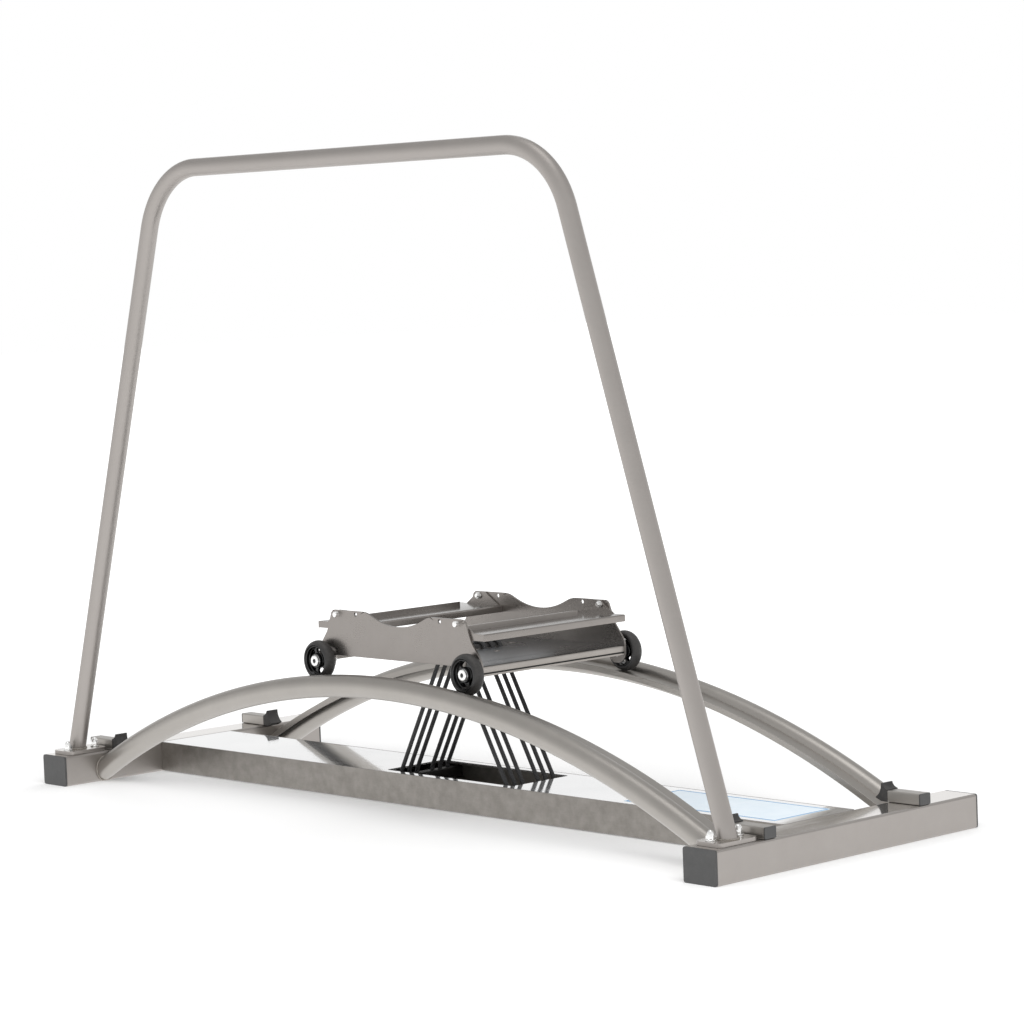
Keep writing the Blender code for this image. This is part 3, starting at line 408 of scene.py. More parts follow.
def roundedPath(corners, step=math.radians(5)):
    # outline through corners (u, v, radius), each rounded with its own radius; the two ends stay
    path = []
    for index, (u, v, radius) in enumerate(corners):
        corner = Vector((u, v))
        if radius <= 0:
            path.append(corner)
            continue
        back = (Vector(corners[index - 1][:2]) - corner).normalized()
        ahead = (Vector(corners[(index + 1) % len(corners)][:2]) - corner).normalized()
        half = back.angle(ahead) / 2
        turn = math.pi - 2 * half
        centre = corner + (back + ahead).normalized() * (radius / math.sin(half))
        start = corner + back * (radius / math.tan(half)) - centre
        stop = corner + ahead * (radius / math.tan(half)) - centre
        sense = 1 if start.cross(stop) > 0 else -1
        count = max(2, math.ceil(turn / step))
        for k in range(count + 1):
            path.append(centre + Matrix.Rotation(sense * turn * k / count, 2) @ start)
    return path


def evenly(points, step):
    # the same path with points about one step apart
    lengths = [0.0]
    for near, far in zip(points, points[1:]):
        lengths.append(lengths[-1] + (far - near).length)
    count = math.ceil(lengths[-1] / step)
    out, k = [], 0
    for n in range(count + 1):
        goal = lengths[-1] * n / count
        while k < len(points) - 2 and lengths[k + 1] < goal:
            k += 1
        span = lengths[k + 1] - lengths[k]
        out.append(points[k].lerp(points[k + 1], (goal - lengths[k]) / span if span else 0))
    return out, lengths[-1]


def cordRoute(setup):
    right = [(setup["spread"], setup["footZ"], 0), (setup["spread"], setup["kneeZ"], setup["kneeTurn"]),
             (setup["shoulder"], setup["topZ"], setup["topTurn"])]
    return evenly(roundedPath(right + mirrored(right)), setup["step"])


cordLine, cordLength = cordRoute(cordSetup)

for finishName, finishLook in metals.items():
    makeMetal(finishName, finishLook)
for finishName, finishLook in mouldings.items():
    makeMoulding(finishName, finishLook)
makePolishedPlate()
makeZinc()
makeCordFabric(braid, cordLength)
makeTyreRubber(tyreLook)
makePanelFinish(panel)
print("finishes made,", len(finishes))


# Meshes
def meshFrom(bm, name):
    mesh = bpy.data.meshes.new(name)
    bm.to_mesh(mesh)
    bm.free()
    return mesh


def show(name, bm, finish, sharp=None):
    # a bmesh in the frame's coordinates becomes an object
    bmesh.ops.recalc_face_normals(bm, faces=bm.faces[:])
    mesh = meshFrom(bm, name)
    mesh.materials.append(finishes[finish])
    mesh.shade_smooth()
    if sharp:
        mesh.set_sharp_from_angle(angle=math.radians(sharp))
    return addObject(name, mesh)


def put(name, bm, finish, body, stands=None, sharp=35, bevel=0.0, bevelSteps=2):
    # a piece that rides on a body, and perhaps stands for a node of the construction
    piece = show(name, bm, finish, sharp)
    if bevel:
        soften(piece, bevel, bevelSteps)
    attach(piece, body)
    if stands:
        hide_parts(stands)
    return piece


def soften(piece, width, steps=2):
    modifier = piece.modifiers.new("soft edges", "BEVEL")
    modifier.width = width
    modifier.segments = steps
    modifier.limit_method = "ANGLE"
    modifier.angle_limit = math.radians(30)
    modifier.harden_normals = True


def carve(piece, tools):
    # cuts the tools out of a piece that has no modifiers yet
    whole = bmesh.new()
    for tool in tools:
        bmesh.ops.recalc_face_normals(tool, faces=tool.faces[:])
        mesh = meshFrom(tool, "tool")
        whole.from_mesh(mesh)
        bpy.data.meshes.remove(mesh)
    cutter = addObject("tools", meshFrom(whole, "tools"))
    modifier = piece.modifiers.new("cut", "BOOLEAN")
    modifier.operation = "DIFFERENCE"
    modifier.object = cutter
    modifier.solver = "FAST"
    graph = bpy.context.evaluated_depsgraph_get()
    graph.update()
    cut = bpy.data.meshes.new_from_object(piece.evaluated_get(graph))
    cut.name = piece.name
    piece.modifiers.remove(modifier)
    piece.data = cut
    cut.set_sharp_from_angle(angle=math.radians(30))
    bpy.data.objects.remove(cutter, do_unlink=True)


def skin(rings, closed=False):
    # faces over rings of points; a closed one joins its last ring to its first
    bm = bmesh.new()
    rows = [[bm.verts.new(point) for point in ring] for ring in rings]
    pairs = list(zip(rows, rows[1:]))
    if closed:
        pairs.append((rows[-1], rows[0]))
    for near, far in pairs:
        for k in range(len(near)):
            bm.faces.new((near[k - 1], near[k], far[k], far[k - 1]))
    if not closed:
        bm.faces.new(rows[0])
        bm.faces.new(list(reversed(rows[-1])))
    return bm


planes = {"XY": lambda u, v, w: Vector((u, v, w)), "XZ": lambda u, v, w: Vector((u, w, v))}


def slab(outline, low, high, plane, holes=()):
    # solid between two levels of a flat outline, with shaped holes through it
    bm = bmesh.new()
    lay = planes[plane]
    edges = []
    for loop in (outline, *holes):
        ring = [bm.verts.new(lay(point[0], point[1], low)) for point in loop]
        edges += [bm.edges.new((ring[k - 1], ring[k])) for k in range(len(ring))]
    bmesh.ops.triangle_fill(bm, use_beauty=True, edges=edges)
    grown = bmesh.ops.extrude_face_region(bm, geom=bm.faces[:])
    moved = [item for item in grown["geom"] if isinstance(item, bmesh.types.BMVert)]
    bmesh.ops.translate(bm, verts=moved, vec=lay(0, 0, high) - lay(0, 0, low))
    return bm


def circle(radius, count, centre=(0, 0)):
    angles = [2 * math.pi * k / count for k in range(count)]
    return [(centre[0] + radius * math.cos(a), centre[1] + radius * math.sin(a)) for a in angles]


def rectangle(width, height, radius, centre=(0, 0)):
    u, v = width / 2, height / 2
    points = [(u, v), (-u, v), (-u, -v), (u, -v)]
    return roundedPath([(centre[0] + a, centre[1] + b, radius) for a, b in points], math.radians(10))


def turned(stations, centre, axis, count=60):
    # bar along an axis from stations (distance, radius), or with a hexagon's radius across corners too
    axis = Vector(axis).normalized()
    first = axis.orthogonal().normalized()
    second = axis.cross(first)
    rings = []
    for distance, radius, *flat in stations:
        ring = []
        for k in range(count):
            angle = 2 * math.pi * k / count
            reach = radius
            if flat:
                within = angle % (math.pi / 3) - math.pi / 6
                reach = min(radius, flat[0] * math.cos(math.pi / 6) / math.cos(within))
            spot = first * (reach * math.cos(angle)) + second * (reach * math.sin(angle))
            ring.append(Vector(centre) + axis * distance + spot)
        rings.append(ring)
    return skin(rings)


def wheelRing(profile, centre, count=96):
    # closed (radius, offset) profile turned about an axis along Y
    return skin([[centre + Vector((radius * u, offset, radius * v)) for radius, offset in profile]
                 for u, v in circle(1, count)], closed=True)


def bead(path, radius, ripple=0.22, pitch=0.0035, around=10):
    # weld bead along a closed path, with the ripples of its passes; each ring is lined up with the one
    # before it, so that the skin doesn't twist
    rings, travelled = [], 0.0
    for k, point in enumerate(path):
        way = (path[(k + 1) % len(path)] - path[k - 1]).normalized()
        travelled += (point - path[k - 1]).length
        side = way.orthogonal().normalized()
        other = way.cross(side)
        size = radius * (1 + ripple * math.sin(2 * math.pi * travelled / pitch))
        ring = [point + side * u + other * v for u, v in circle(size, around)]
        if rings:
            best = min(range(around), key=lambda n: (ring[n] - rings[-1][0]).length)
            ring = ring[best:] + ring[:best]
        rings.append(ring)
    return skin(rings, closed=True)


# Cords: braided sleeves, each one piece from anchor bar to anchor bar over the carriage's saddle
def onCord(travelled, angle, y, radius):
    # point of the sleeve's surface, a distance along the cord and an angle round it
    last = len(cordLine) - 1
    index = min(max(travelled / cordLength * last, 0), last)
    whole = min(int(index), last - 1)
    spot = cordLine[whole].lerp(cordLine[whole + 1], index - whole)
    ways = [(cordLine[min(n + 1, last)] - cordLine[max(n - 1, 0)]).normalized() for n in (whole, whole + 1)]
    way = ways[0].lerp(ways[1], index - whole).normalized()
    flat = radius * math.cos(angle)
    return Vector((spot.x + way.y * flat, y + radius * math.sin(angle), spot.y - way.x * flat))


def makeCord(name, y, setup):
    # each ring runs up and down the cord by half its thickness, so that a leg the carriage has pulled
    # flat keeps its height
    radius, around, last = setup["diameter"] / 2, setup["around"], len(cordLine) - 1
    bm = bmesh.new()
    sleeve = bm.loops.layers.uv.new("sleeve")
    rows, marks = [], []
    for k in range(last + 1):
        middle = cordLength * k / last
        wave = radius * min(1, middle / setup["calm"], (cordLength - middle) / setup["calm"])
        angles = [2 * math.pi * n / around for n in range(around)]
        marks.append([middle + wave * math.cos(2 * a) for a in angles])
        rows.append([bm.verts.new(onCord(mark, a, y, radius)) for mark, a in zip(marks[-1], angles)])
    for k, (near, far) in enumerate(zip(rows, rows[1:])):
        for n in range(around):
            m = (n + 1) % around
            face = bm.faces.new((near[n], near[m], far[m], far[n]))
            spots = ((n, marks[k][n]), (n + 1, marks[k][m]),
                     (n + 1, marks[k + 1][m]), (n, marks[k + 1][n]))
            for loop, (u, v) in zip(face.loops, spots):
                loop[sleeve].uv = (u / around, v / cordLength)
    bm.faces.new(rows[0])
    bm.faces.new(list(reversed(rows[-1])))
    piece = show(name, bm, "cordFabric")
    low, high = setup["bendFrom"], setup["bendTo"]
    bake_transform(piece)
    shares = []
    for point in cordLine:
        share = min(max((point.y - low) / (high - low), 0), 1) ** setup["bendPower"]
        shares += [share] * around
    return piece


for cordNumber, cordY in enumerate(cordSetup["places"], 1):
    cord = makeCord(f"cord_sleeve_{cordNumber}", cordY, cordSetup)
    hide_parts(f"elastic_cord_{cordNumber}")
print("cords made, each", round(cordLength, 3), "m")


# Rails: round tubes on arcs, welded to the beams, with an angle strip for the wheels
railSetup = {
    "pivotZ": -1.51143,
    "radius": 1.75943,     # of the arc
    "end": 0.8577, "tube": 0.0212, "steps": 120, "around": 48,
    "rise": 0.008,         # of the running surface over the tube's centre line
    "seat": 0.01993,       # where the strip meets the tube
    "reach": 0.048, "leg": 0.011, "sheet": 0.003, "bead": 0.0016,
    "lift": 0.0006,        # of the weld's centre, and of the strip's lower edge, from the tube
    "weldBack": 0.0008,    # from the beam
}


def archPoint(setup, side, inward, outward, share):
    reach = setup["radius"] + outward
    angle = share * math.asin(setup["end"] / reach)
    y = side * (railOffset - inward)
    return Vector((reach * math.sin(angle), y, setup["pivotZ"] + reach * math.cos(angle)))


def makeRails(setup):
    tube = circle(setup["tube"], setup["around"])
    inner, low = setup["reach"] - setup["sheet"], setup["rise"] - setup["sheet"]
    leg = setup["rise"] - setup["leg"]
    strip = [(setup["seat"], setup["rise"]), (setup["reach"], setup["rise"]), (setup["reach"], leg),
             (inner, leg), (inner, low), (setup["seat"] + setup["lift"], low)]
    shares = [2 * k / setup["steps"] - 1 for k in range(setup["steps"] + 1)]
    for place, side in ends:
        rings = [[archPoint(setup, side, u, v, share) for u, v in tube] for share in shares]
        put(f"{place}_rail_tube", skin(rings), "railSteel", "frame", f"{place}_rail")
        rings = [[archPoint(setup, side, u, v, share) for u, v in strip] for share in shares]
        put(f"{place}_rail_strip", skin(rings), "railSteel", "frame", f"{place}_track",
            bevel=0.0005)
        for hand, way in sides:
            seam = circle(setup["tube"] + setup["lift"], 96)
            around = [archPoint(setup, side, u, v, way) for u, v in seam]
            for point in around:
                point.x -= way * setup["weldBack"]
                point.z = max(point.z, setup["bead"] * 1.25)    # clear of the floor, with its ripples
            put(f"{place}_{hand}_rail_weld", bead(around, setup["bead"]), "weldSteel", "frame")


makeRails(railSetup)
print("rails made")

# Handle hoop: a bent tube on two bolted foot plates
hoopSetup = {
    "planeY": -0.271,
    "postX": 0.9035,       # at the beams' tops
    "topZ": 1.218, "lean": math.radians(17.2), "tube": 0.01685, "bend": 0.158, "around": 40,
    "bead": 0.0018,
    "lift": 0.0008,        # of the weld's centre from the post and from the plate
    "sink": 0.001,         # of the posts' feet into the plates
}
footSetup = {
    "centre": (0.895, -0.268), "size": (0.060, 0.094), "corner": 0.012, "low": 0.0603, "high": 0.0673,
    "boltX": 0.891, "spacing": 0.066, "hole": 0.0046,
}


def boltPlace(way, end):
    return (way * footSetup["boltX"], footSetup["centre"][1] + end * footSetup["spacing"] / 2)


def hoopLine(setup):
    rise = Vector((-math.sin(setup["lean"]), math.cos(setup["lean"])))
    post = Vector((setup["postX"], deck))
    turn = math.pi / 2 - setup["lean"]
    corner = post + rise * ((setup["topZ"] - deck) / rise.y)
    start = corner - rise * (setup["bend"] * math.tan(turn / 2))
    centre = start + Vector((-rise.y, rise.x)) * setup["bend"]
    foot = post + rise * ((footSetup["high"] - setup["sink"] - deck) / rise.y)
    steps, bends = 8, 24
    line = [(foot.lerp(start, k / steps), rise) for k in range(steps)]
    for k in range(bends + 1):
        spin = Matrix.Rotation(turn * k / bends, 2)
        line.append((centre + spin @ (start - centre), spin @ rise))
    line.append((Vector((0, setup["topZ"])), Vector((-1, 0))))
    other = [(Vector((-point.x, point.y)), Vector((way.x, -way.y))) for point, way in reversed(line[:-1])]
    return line + other


def makeHoop(setup):
    line = hoopLine(setup)
    rings = []
    for index, (point, way) in enumerate(line):
        across = Vector((way.y, -way.x))
        ring = []
        for u, v in circle(setup["tube"], setup["around"]):
            spot = point + across * u
            if index in (0, len(line) - 1):
                spot += way * ((point.y - spot.y) / way.y)
            ring.append((spot.x, setup["planeY"] + v, spot.y))
        rings.append(ring)
    put("hoop_tube", skin(rings), "hoopSteel", "frame", "handle_hoop")
    for hand, way in sides:
        level = footSetup["high"] + setup["lift"]
        x = setup["postX"] - math.tan(setup["lean"]) * (level - deck)
        wide = setup["tube"] / math.cos(setup["lean"]) + setup["lift"]
        deep = setup["tube"] + setup["lift"]
        around = [Vector((way * x + wide * u, setup["planeY"] + deep * v, level)) for u, v in circle(1, 90)]
        put(f"{hand}_post_weld", bead(around, setup["bead"]), "weldSteel", "frame")
        middle = (way * footSetup["centre"][0], footSetup["centre"][1])
        outline = rectangle(*footSetup["size"], footSetup["corner"], middle)
        holes = [circle(footSetup["hole"], 24, boltPlace(way, end)) for _, end in ends]
        put(f"{hand}_foot_plate", slab(outline, footSetup["low"], footSetup["high"], "XY", holes),
            "hoopSteel", "frame", bevel=0.0007)


makeHoop(hoopSetup)

# Fasteners, with sizes from the construction
boltSetup = {"shank": 0.004, "nut": 0.0082, "nutHeight": 0.0075, "washer": 0.0090, "washerHeight": 0.0018,
             "washerEdge": 0.0003, "pitch": 0.00125, "reach": 0.012, "dome": 0.0067, "domeHeight": 0.0088}


def thread(start, stop, radius, pitch):
    # ridges of a thread, as rings, up or down the bar
    way = 1 if stop > start else -1
    stations = []
    count = int(abs(stop - start) / pitch)
    for k in range(count):
        level = start + way * pitch * k
        stations += [(level, radius * 0.86), (level + way * pitch * 0.5, radius)]
    return stations + [(stop, radius * 0.82)]


def nutStations(low, high, size):
    # hexagon with chamfered corners at both faces
    chamfer = size * 0.09
    flat = size * math.cos(math.pi / 6)
    return [(low, flat * 0.98, size), (low + chamfer, size, size), (high - chamfer, size, size),
            (high, flat * 0.98, size)]


def makeFootBolts(setup):
    seat = footSetup["high"] + seatGap
    washer = seat + setup["washerHeight"]
    nut = washer + setup["nutHeight"]
    wide, edge = setup["washer"], setup["washerEdge"]
    stations = [(footSetup["low"] - setup["reach"], setup["shank"]), (seat, setup["shank"]),
                (seat, wide * 0.97), (seat + edge, wide), (washer - edge, wide), (washer, wide * 0.96)]
    stations += nutStations(washer + 0.0001, nut, setup["nut"])
    for k in range(9):
        turn = math.radians(10 * k)
        stations.append((nut + setup["domeHeight"] * math.sin(turn), setup["dome"] * math.cos(turn)))
    for hand, way in sides:
        for place, end in ends:
            put(f"{hand}_{place}_foot_fastener", turned(stations, (*boltPlace(way, end), 0), (0, 0, 1)),
                "brightZinc", "frame", f"{hand}_{place}_foot_bolt", sharp=28)


makeFootBolts(boltSetup)
print("hoop made")

# End stops: rubber wedges before the blocks
stopSetup = {
    "inner": 0.8587,       # the wedge's flat face
    "low": 0.0603, "width": 0.028, "ys": (-0.20103, 0.19303), "back": 0.0215, "height": 0.032,
    "ridge": 0.003, "ridgeX": 0.0145, "reach": 0.028, "tip": 0.006, "undercut": 0.013,
    "backBow": 0.0025, "frontBow": 0.0040,
}


def bowed(start, end, sag, count=14):
    start, end = Vector(start), Vector(end)
    across = Vector((-(end - start).y, (end - start).x)).normalized()
    return [start.lerp(end, k / count) + across * (sag * 4 * k / count * (1 - k / count))
            for k in range(count + 1)]


def makeBumpers(setup):
    ridge, top = setup["ridgeX"], setup["height"]
    outline = [Vector((0, 0))]
    outline += bowed((0, setup["back"]), (setup["ridge"] - ridge, top), setup["backBow"])
    outline += bowed((-ridge, top), (-setup["reach"], setup["tip"]), setup["frontBow"])
    outline.append(Vector((setup["undercut"] - setup["reach"], 0)))
    for hand, way in sides:
        for (place, _), y in zip(ends, setup["ys"]):
            points = [(way * (setup["inner"] + u), setup["low"] + v) for u, v in outline]
            bm = slab(points, y - setup["width"] / 2, y + setup["width"] / 2, "XZ")
            put(f"{place}_{hand}_wedge", bm, "bumperRubber", "frame",
                f"{place}_{hand}_bumper", bevel=0.0007, bevelSteps=3)


makeBumpers(stopSetup)
print("stops made")


# Carriage body
def sidePlateOutline(setup):
    axleX, axleZ, lobe = setup["axleX"], setup["axleZ"], setup["lobe"]
    top, slope, radius = axleZ + setup["plateRise"], setup["valleySlope"], setup["valleyRadius"]
    valley = axleZ + setup["valleyRise"] - radius * (1 / math.cos(slope) - 1)
    crest = (top - valley) / math.tan(slope)
    lobeIn, lobeOut, low = axleX - lobe - 0.002, axleX + lobe, axleZ - lobe
    right = [(crest, top, 0.055), (axleX - setup["shoulderInset"], top, 0.012),
             (axleX - setup["waistInset"], axleZ + setup["waistRise"], 0.045),
             (lobeOut, axleZ + lobe, 0.030), (lobeOut, low, lobe - 0.001),
             (lobeIn, low, lobe - 0.001), (lobeIn, axleZ + setup["bottomRise"], 0.006)]
    return roundedPath([(0, valley, radius)] + right + mirrored(right), math.radians(3))


def makeSidePlates(setup):
    spare = (setup["axleX"] - setup["spareInset"], setup["axleZ"] + setup["spareRise"])
    holes = []
    for _, way in sides:
        holes.append(circle(boltHole, 24, (way * setup["boltX"], setup["boltZ"])))
        holes.append(circle(setup["spareHole"], 24, (way * spare[0], spare[1])))
        holes.append(circle(boltHole, 24, (way * setup["axleX"], setup["axleZ"])))
    for place, end in ends:
        levels = sorted((end * setup["plateInner"], end * setup["plateOuter"]))
        put(f"{place}_cheek", slab(sidePlateOutline(setup), *levels, "XZ", holes), "carriageSteel",
            "carriage", f"{place}_side_plate", bevel=0.0005)


def foldedChannel(half, top, low, sheet, fold):
    # cross-section of a sheet folded down along both sides
    outer = [(half, low, 0), (half, top, fold), (-half, top, fold), (-half, low, 0)]
    inside = max(fold - sheet, 0.0004)
    inner = [(sheet - half, low, 0), (sheet - half, top - sheet, inside),
             (half - sheet, top - sheet, inside), (half - sheet, low, 0)]
    return roundedPath(outer + inner, math.radians(15))


def makeFootRails(setup):
    half, top, low = setup["footWidth"] / 2, setup["footTop"], setup["footTop"] - setup["flange"]
    plateTop = setup["axleZ"] + setup["plateRise"]
    inset, edge = setup["earInset"], half - setup["earInset"]
    ear = [(setup["earTop"][1], plateTop, 0.003), (setup["earBase"][1], top, 0.002),
           (edge, top - inset, 0.0008), (edge, low + inset, 0), (-edge, low + inset, 0),
           (-edge, top - inset, 0.0008), (-setup["earBase"][0], top, 0.002),
           (-setup["earTop"][0], plateTop, 0.003)]
    ear = roundedPath(ear, math.radians(15))
    channel = foldedChannel(half, top, low, setup["sheet"], setup["fold"])
    for hand, way in sides:
        centre = way * setup["footX"]
        section = [(centre + u, v) for u, v in channel]
        put(f"{hand}_foot_channel", slab(section, -setup["half"], setup["half"], "XZ"), "carriageSteel",
            "carriage", f"{hand}_foot_rail", bevel=0.0003)
        front, back = setup["finEnds"]
        spot = (centre - way * setup["finShift"], (front + back) / 2)
        fin = rectangle(setup["sheet"], back - front, 0.0003, spot)
        put(f"{hand}_foot_fin", slab(fin, top - setup["sheet"] * 0.7, top + setup["fin"], "XY"),
            "carriageSteel", "carriage", bevel=0.0003)
        hole = circle(boltHole, 24, (centre, setup["boltZ"]))
        points = [(centre + way * u, v) for u, v in ear]
        for place, end in ends:
            levels = sorted((end * (setup["half"] - setup["sheet"]), end * (setup["half"] + 0.0001)))
            put(f"{place}_{hand}_ear", slab(points, *levels, "XZ", [hole]), "carriageSteel", "carriage",
                bevel=0.0003)


def makeTray(setup):
    half, top, sheet = setup["axleX"] + setup["trayOver"], setup["trayTop"], setup["traySheet"]
    low, groove = top - setup["trayLip"], half - setup["trayGroove"]
    hem = low + setup["trayHem"]
    right = [(half, low, 0.0004), (half, hem, 0.0004), (groove, hem + 0.0005, 0), (groove, hem + 0.0025, 0),
             (half, hem + 0.003, 0.0004), (half, top, 0.0032)]
    inner = [(half - sheet, low, 0), (half - sheet, top - sheet, 0.0007)]
    outline = right + mirrored(right) + mirrored(inner[::-1]) + inner[::-1]
    section = roundedPath(outline, math.radians(15))
    tray = put("tray", slab(section, -setup["half"], setup["half"], "XZ"), "traySteel", "carriage",
               "bottom_tray")
    # painted shade: the faces in the lip's groove get the dark steel, standing in for the groove's shadow
    tray.data.materials.append(finishes["darkSteelAndGrooveShade"])
    for face in tray.data.polygons:
        if abs(face.center.x) > groove - 0.0002 and hem + 0.0002 < face.center.z < hem + 0.0028:
            face.material_index = 1
    near, far = setup["slotX"]
    tools = []
    for _, way in sides:
        slot = rectangle(far - near, 2 * setup["slotHalf"], (far - near) * 0.3, (way * (near + far) / 2, 0))
        beside = circle(setup["trayHole"], 40, (way * setup["trayHoleX"], 0))
        before = circle(setup["trayHole"], 40, (0, way * setup["trayHoleY"]))
        tools += [slab(hole, top - 2 * sheet, top + sheet, "XY") for hole in (slot, beside, before)]
    carve(tray, tools)
    soften(tray, 0.0003)


makeSidePlates(carriageSetup)
makeFootRails(carriageSetup)
makeTray(carriageSetup)
print("carriage body made")

cornerBolt = {"head": 0.0090, "headRadius": 0.0054, "nut": 0.0064, "nutHeight": 0.0050, "washer": 0.0066,
              "washerHeight": 0.0011, "stub": 0.0030}


def makeCornerBolts(bolt, setup, common):
    outer, nut = setup["plateOuter"] + seatGap, setup["half"] - setup["sheet"] - seatGap
    back, head = nut - bolt["nutHeight"], outer + bolt["head"]
    radius, shank, washer = bolt["headRadius"], common["shank"], nut - bolt["washerHeight"]
    tail = list(reversed(thread(back, back - bolt["stub"], shank, common["pitch"])))
    stations = tail + nutStations(back, washer - 0.0001, bolt["nut"])
    stations += [(washer, bolt["washer"]), (nut, bolt["washer"]), (nut, shank), (outer, shank),
                 (outer, radius), (head - 0.0008, radius), (head - 0.0002, radius * 0.94),
                 (head, radius * 0.84)]
    for hand, way in sides:
        for place, end in ends:
            spot = (way * setup["boltX"], 0, setup["boltZ"])
            put(f"{place}_{hand}_corner_fastener", turned(stations, spot, (0, end, 0)), "brightZinc",
                "carriage", f"{place}_{hand}_corner_bolt", sharp=28)


makeCornerBolts(cornerBolt, carriageSetup, boltSetup)

# Wheels: tyre, spoked core and two bearings on a socket-headed axle
wheelSetup = {
    "y": 0.20103, "radius": 0.038, "width": 0.024, "flank": 0.0298, "core": 0.0280, "coreWidth": 0.0205,
    "rim": 0.0020, "web": 0.0060, "hub": 0.0135, "hubWidth": 0.019, "windows": 5,
    "windowHalf": 0.0049,      # half the width of the openings between the spokes
    "windowTurn": math.radians(14),
    "windowStart": {"left": math.radians(-70), "right": math.radians(106)},
    "bearing": 0.0110, "bearingWide": 0.0070,
    "raceIn": 0.0062,          # the inner race's outer radius
    "raceOut": 0.0016,         # the outer race's thickness
}
axleSetup = {"shaft": 0.004, "head": 0.0035, "headRadius": 0.0105, "socket": 0.0045, "socketDepth": 0.0025,
             "spacer": 0.0065, "cap": 0.010, "capRadius": 0.0085, "gap": 0.0005, "washerHeight": 0.0012}


def tyreProfile(setup):
    rim, half = setup["radius"], setup["width"] / 2
    side = [(setup["core"] + 0.0003, -setup["coreWidth"] / 2 + 0.0004),
            (setup["core"] + 0.0008, -setup["coreWidth"] / 2)]
    for k in range(14):
        turn = math.pi / 2 * k / 14
        side.append((setup["flank"] + (rim - setup["flank"]) * math.sin(turn), -half * math.cos(turn)))
    return side + [(rim, 0)] + [(radius, -offset) for radius, offset in reversed(side)]


def coreProfile(setup):
    hub, web, half = setup["hubWidth"] / 2, setup["web"] / 2, setup["coreWidth"] / 2
    lip, seat = setup["core"] - setup["rim"], setup["bearing"] + 0.0001
    step = setup["bearingWide"] + 0.0002 - hub
    edge = [(boltHole + 0.002, step), (seat, step), (seat, -hub + 0.0003),
            (seat + 0.0003, -hub), (setup["hub"] - 0.0004, -hub), (setup["hub"], -hub + 0.0004),
            (setup["hub"] + 0.0006, -web - 0.0008), (setup["hub"] + 0.0014, -web), (lip - 0.0012, -web),
            (lip - 0.0002, -web - 0.0010), (lip, -half + 0.0004), (lip + 0.0004, -half),
            (setup["core"] - 0.0004, -half), (setup["core"], -half + 0.0004)]
    return edge + [(radius, -offset) for radius, offset in reversed(edge)]


def windowOutline(setup, angle):
    # bent slot with round ends
    middle = (setup["hub"] + setup["core"] - setup["rim"]) / 2
    turn, half = setup["windowTurn"], setup["windowHalf"]
    points = []
    for way, edge in ((1, middle + half), (-1, middle - half)):
        for k in range(9):
            a = angle + way * turn * (k / 4 - 1)
            points.append(Vector((edge * math.cos(a), edge * math.sin(a))))
        finish = angle + way * turn
        centre = Vector((middle * math.cos(finish), middle * math.sin(finish)))
        start = points[-1] - centre
        for k in range(1, 8):
            points.append(centre + Matrix.Rotation(math.pi * k / 8, 2) @ start)
    return points


def bearingProfile(setup, low, way):
    # outer race, sunk shield and inner race, as one ring
    outer, inner, shield = setup["bearing"], setup["raceIn"], setup["bearing"] - setup["raceOut"]
    wide = setup["bearingWide"]
    rise = [(boltHole, 0), (boltHole, wide - 0.0002), (boltHole + 0.0002, wide), (inner, wide),
            (inner, wide - 0.0006), (shield, wide - 0.0006), (shield, wide), (outer - 0.0003, wide),
            (outer, wide - 0.0003), (outer, 0)]
    return [(radius, low + way * height) for radius, height in rise]


def makeWheels(setup, axle):
    for hand, way in sides:
        first, part = setup["windowStart"][hand], 2 * math.pi / setup["windows"]
        windows = [windowOutline(setup, first + part * k) for k in range(setup["windows"])]
        for place, end in ends:
            body = f"{place}_{hand}_wheel"
            spot = Vector((way * carriageSetup["axleX"], end * setup["y"], carriageSetup["axleZ"]))
            put(f"{body}_tyre", wheelRing(tyreProfile(setup), spot), "tyreRubber", body,
                f"{place}_{hand}_tyre", sharp=50)
            core = put(f"{body}_spoked_core", wheelRing(coreProfile(setup), spot, 80), "corePlastic", body,
                       f"{place}_{hand}_wheel_core")
            through = (spot.y - setup["web"], spot.y + setup["web"])
            carve(core, [slab([(spot.x + u, spot.z + v) for u, v in window], *through, "XZ")
                         for window in windows])
            for face in (-1, 1):
                low = face * (setup["hubWidth"] / 2 - setup["bearingWide"] - 0.0001)
                word = "outer" if face == end else "inner"
                put(f"{body}_{word}_bearing", wheelRing(bearingProfile(setup, low, face), spot, 64),
                    "brightZinc", body, sharp=30)
            makeAxle(f"{place}_{hand}", spot, end, setup, axle)


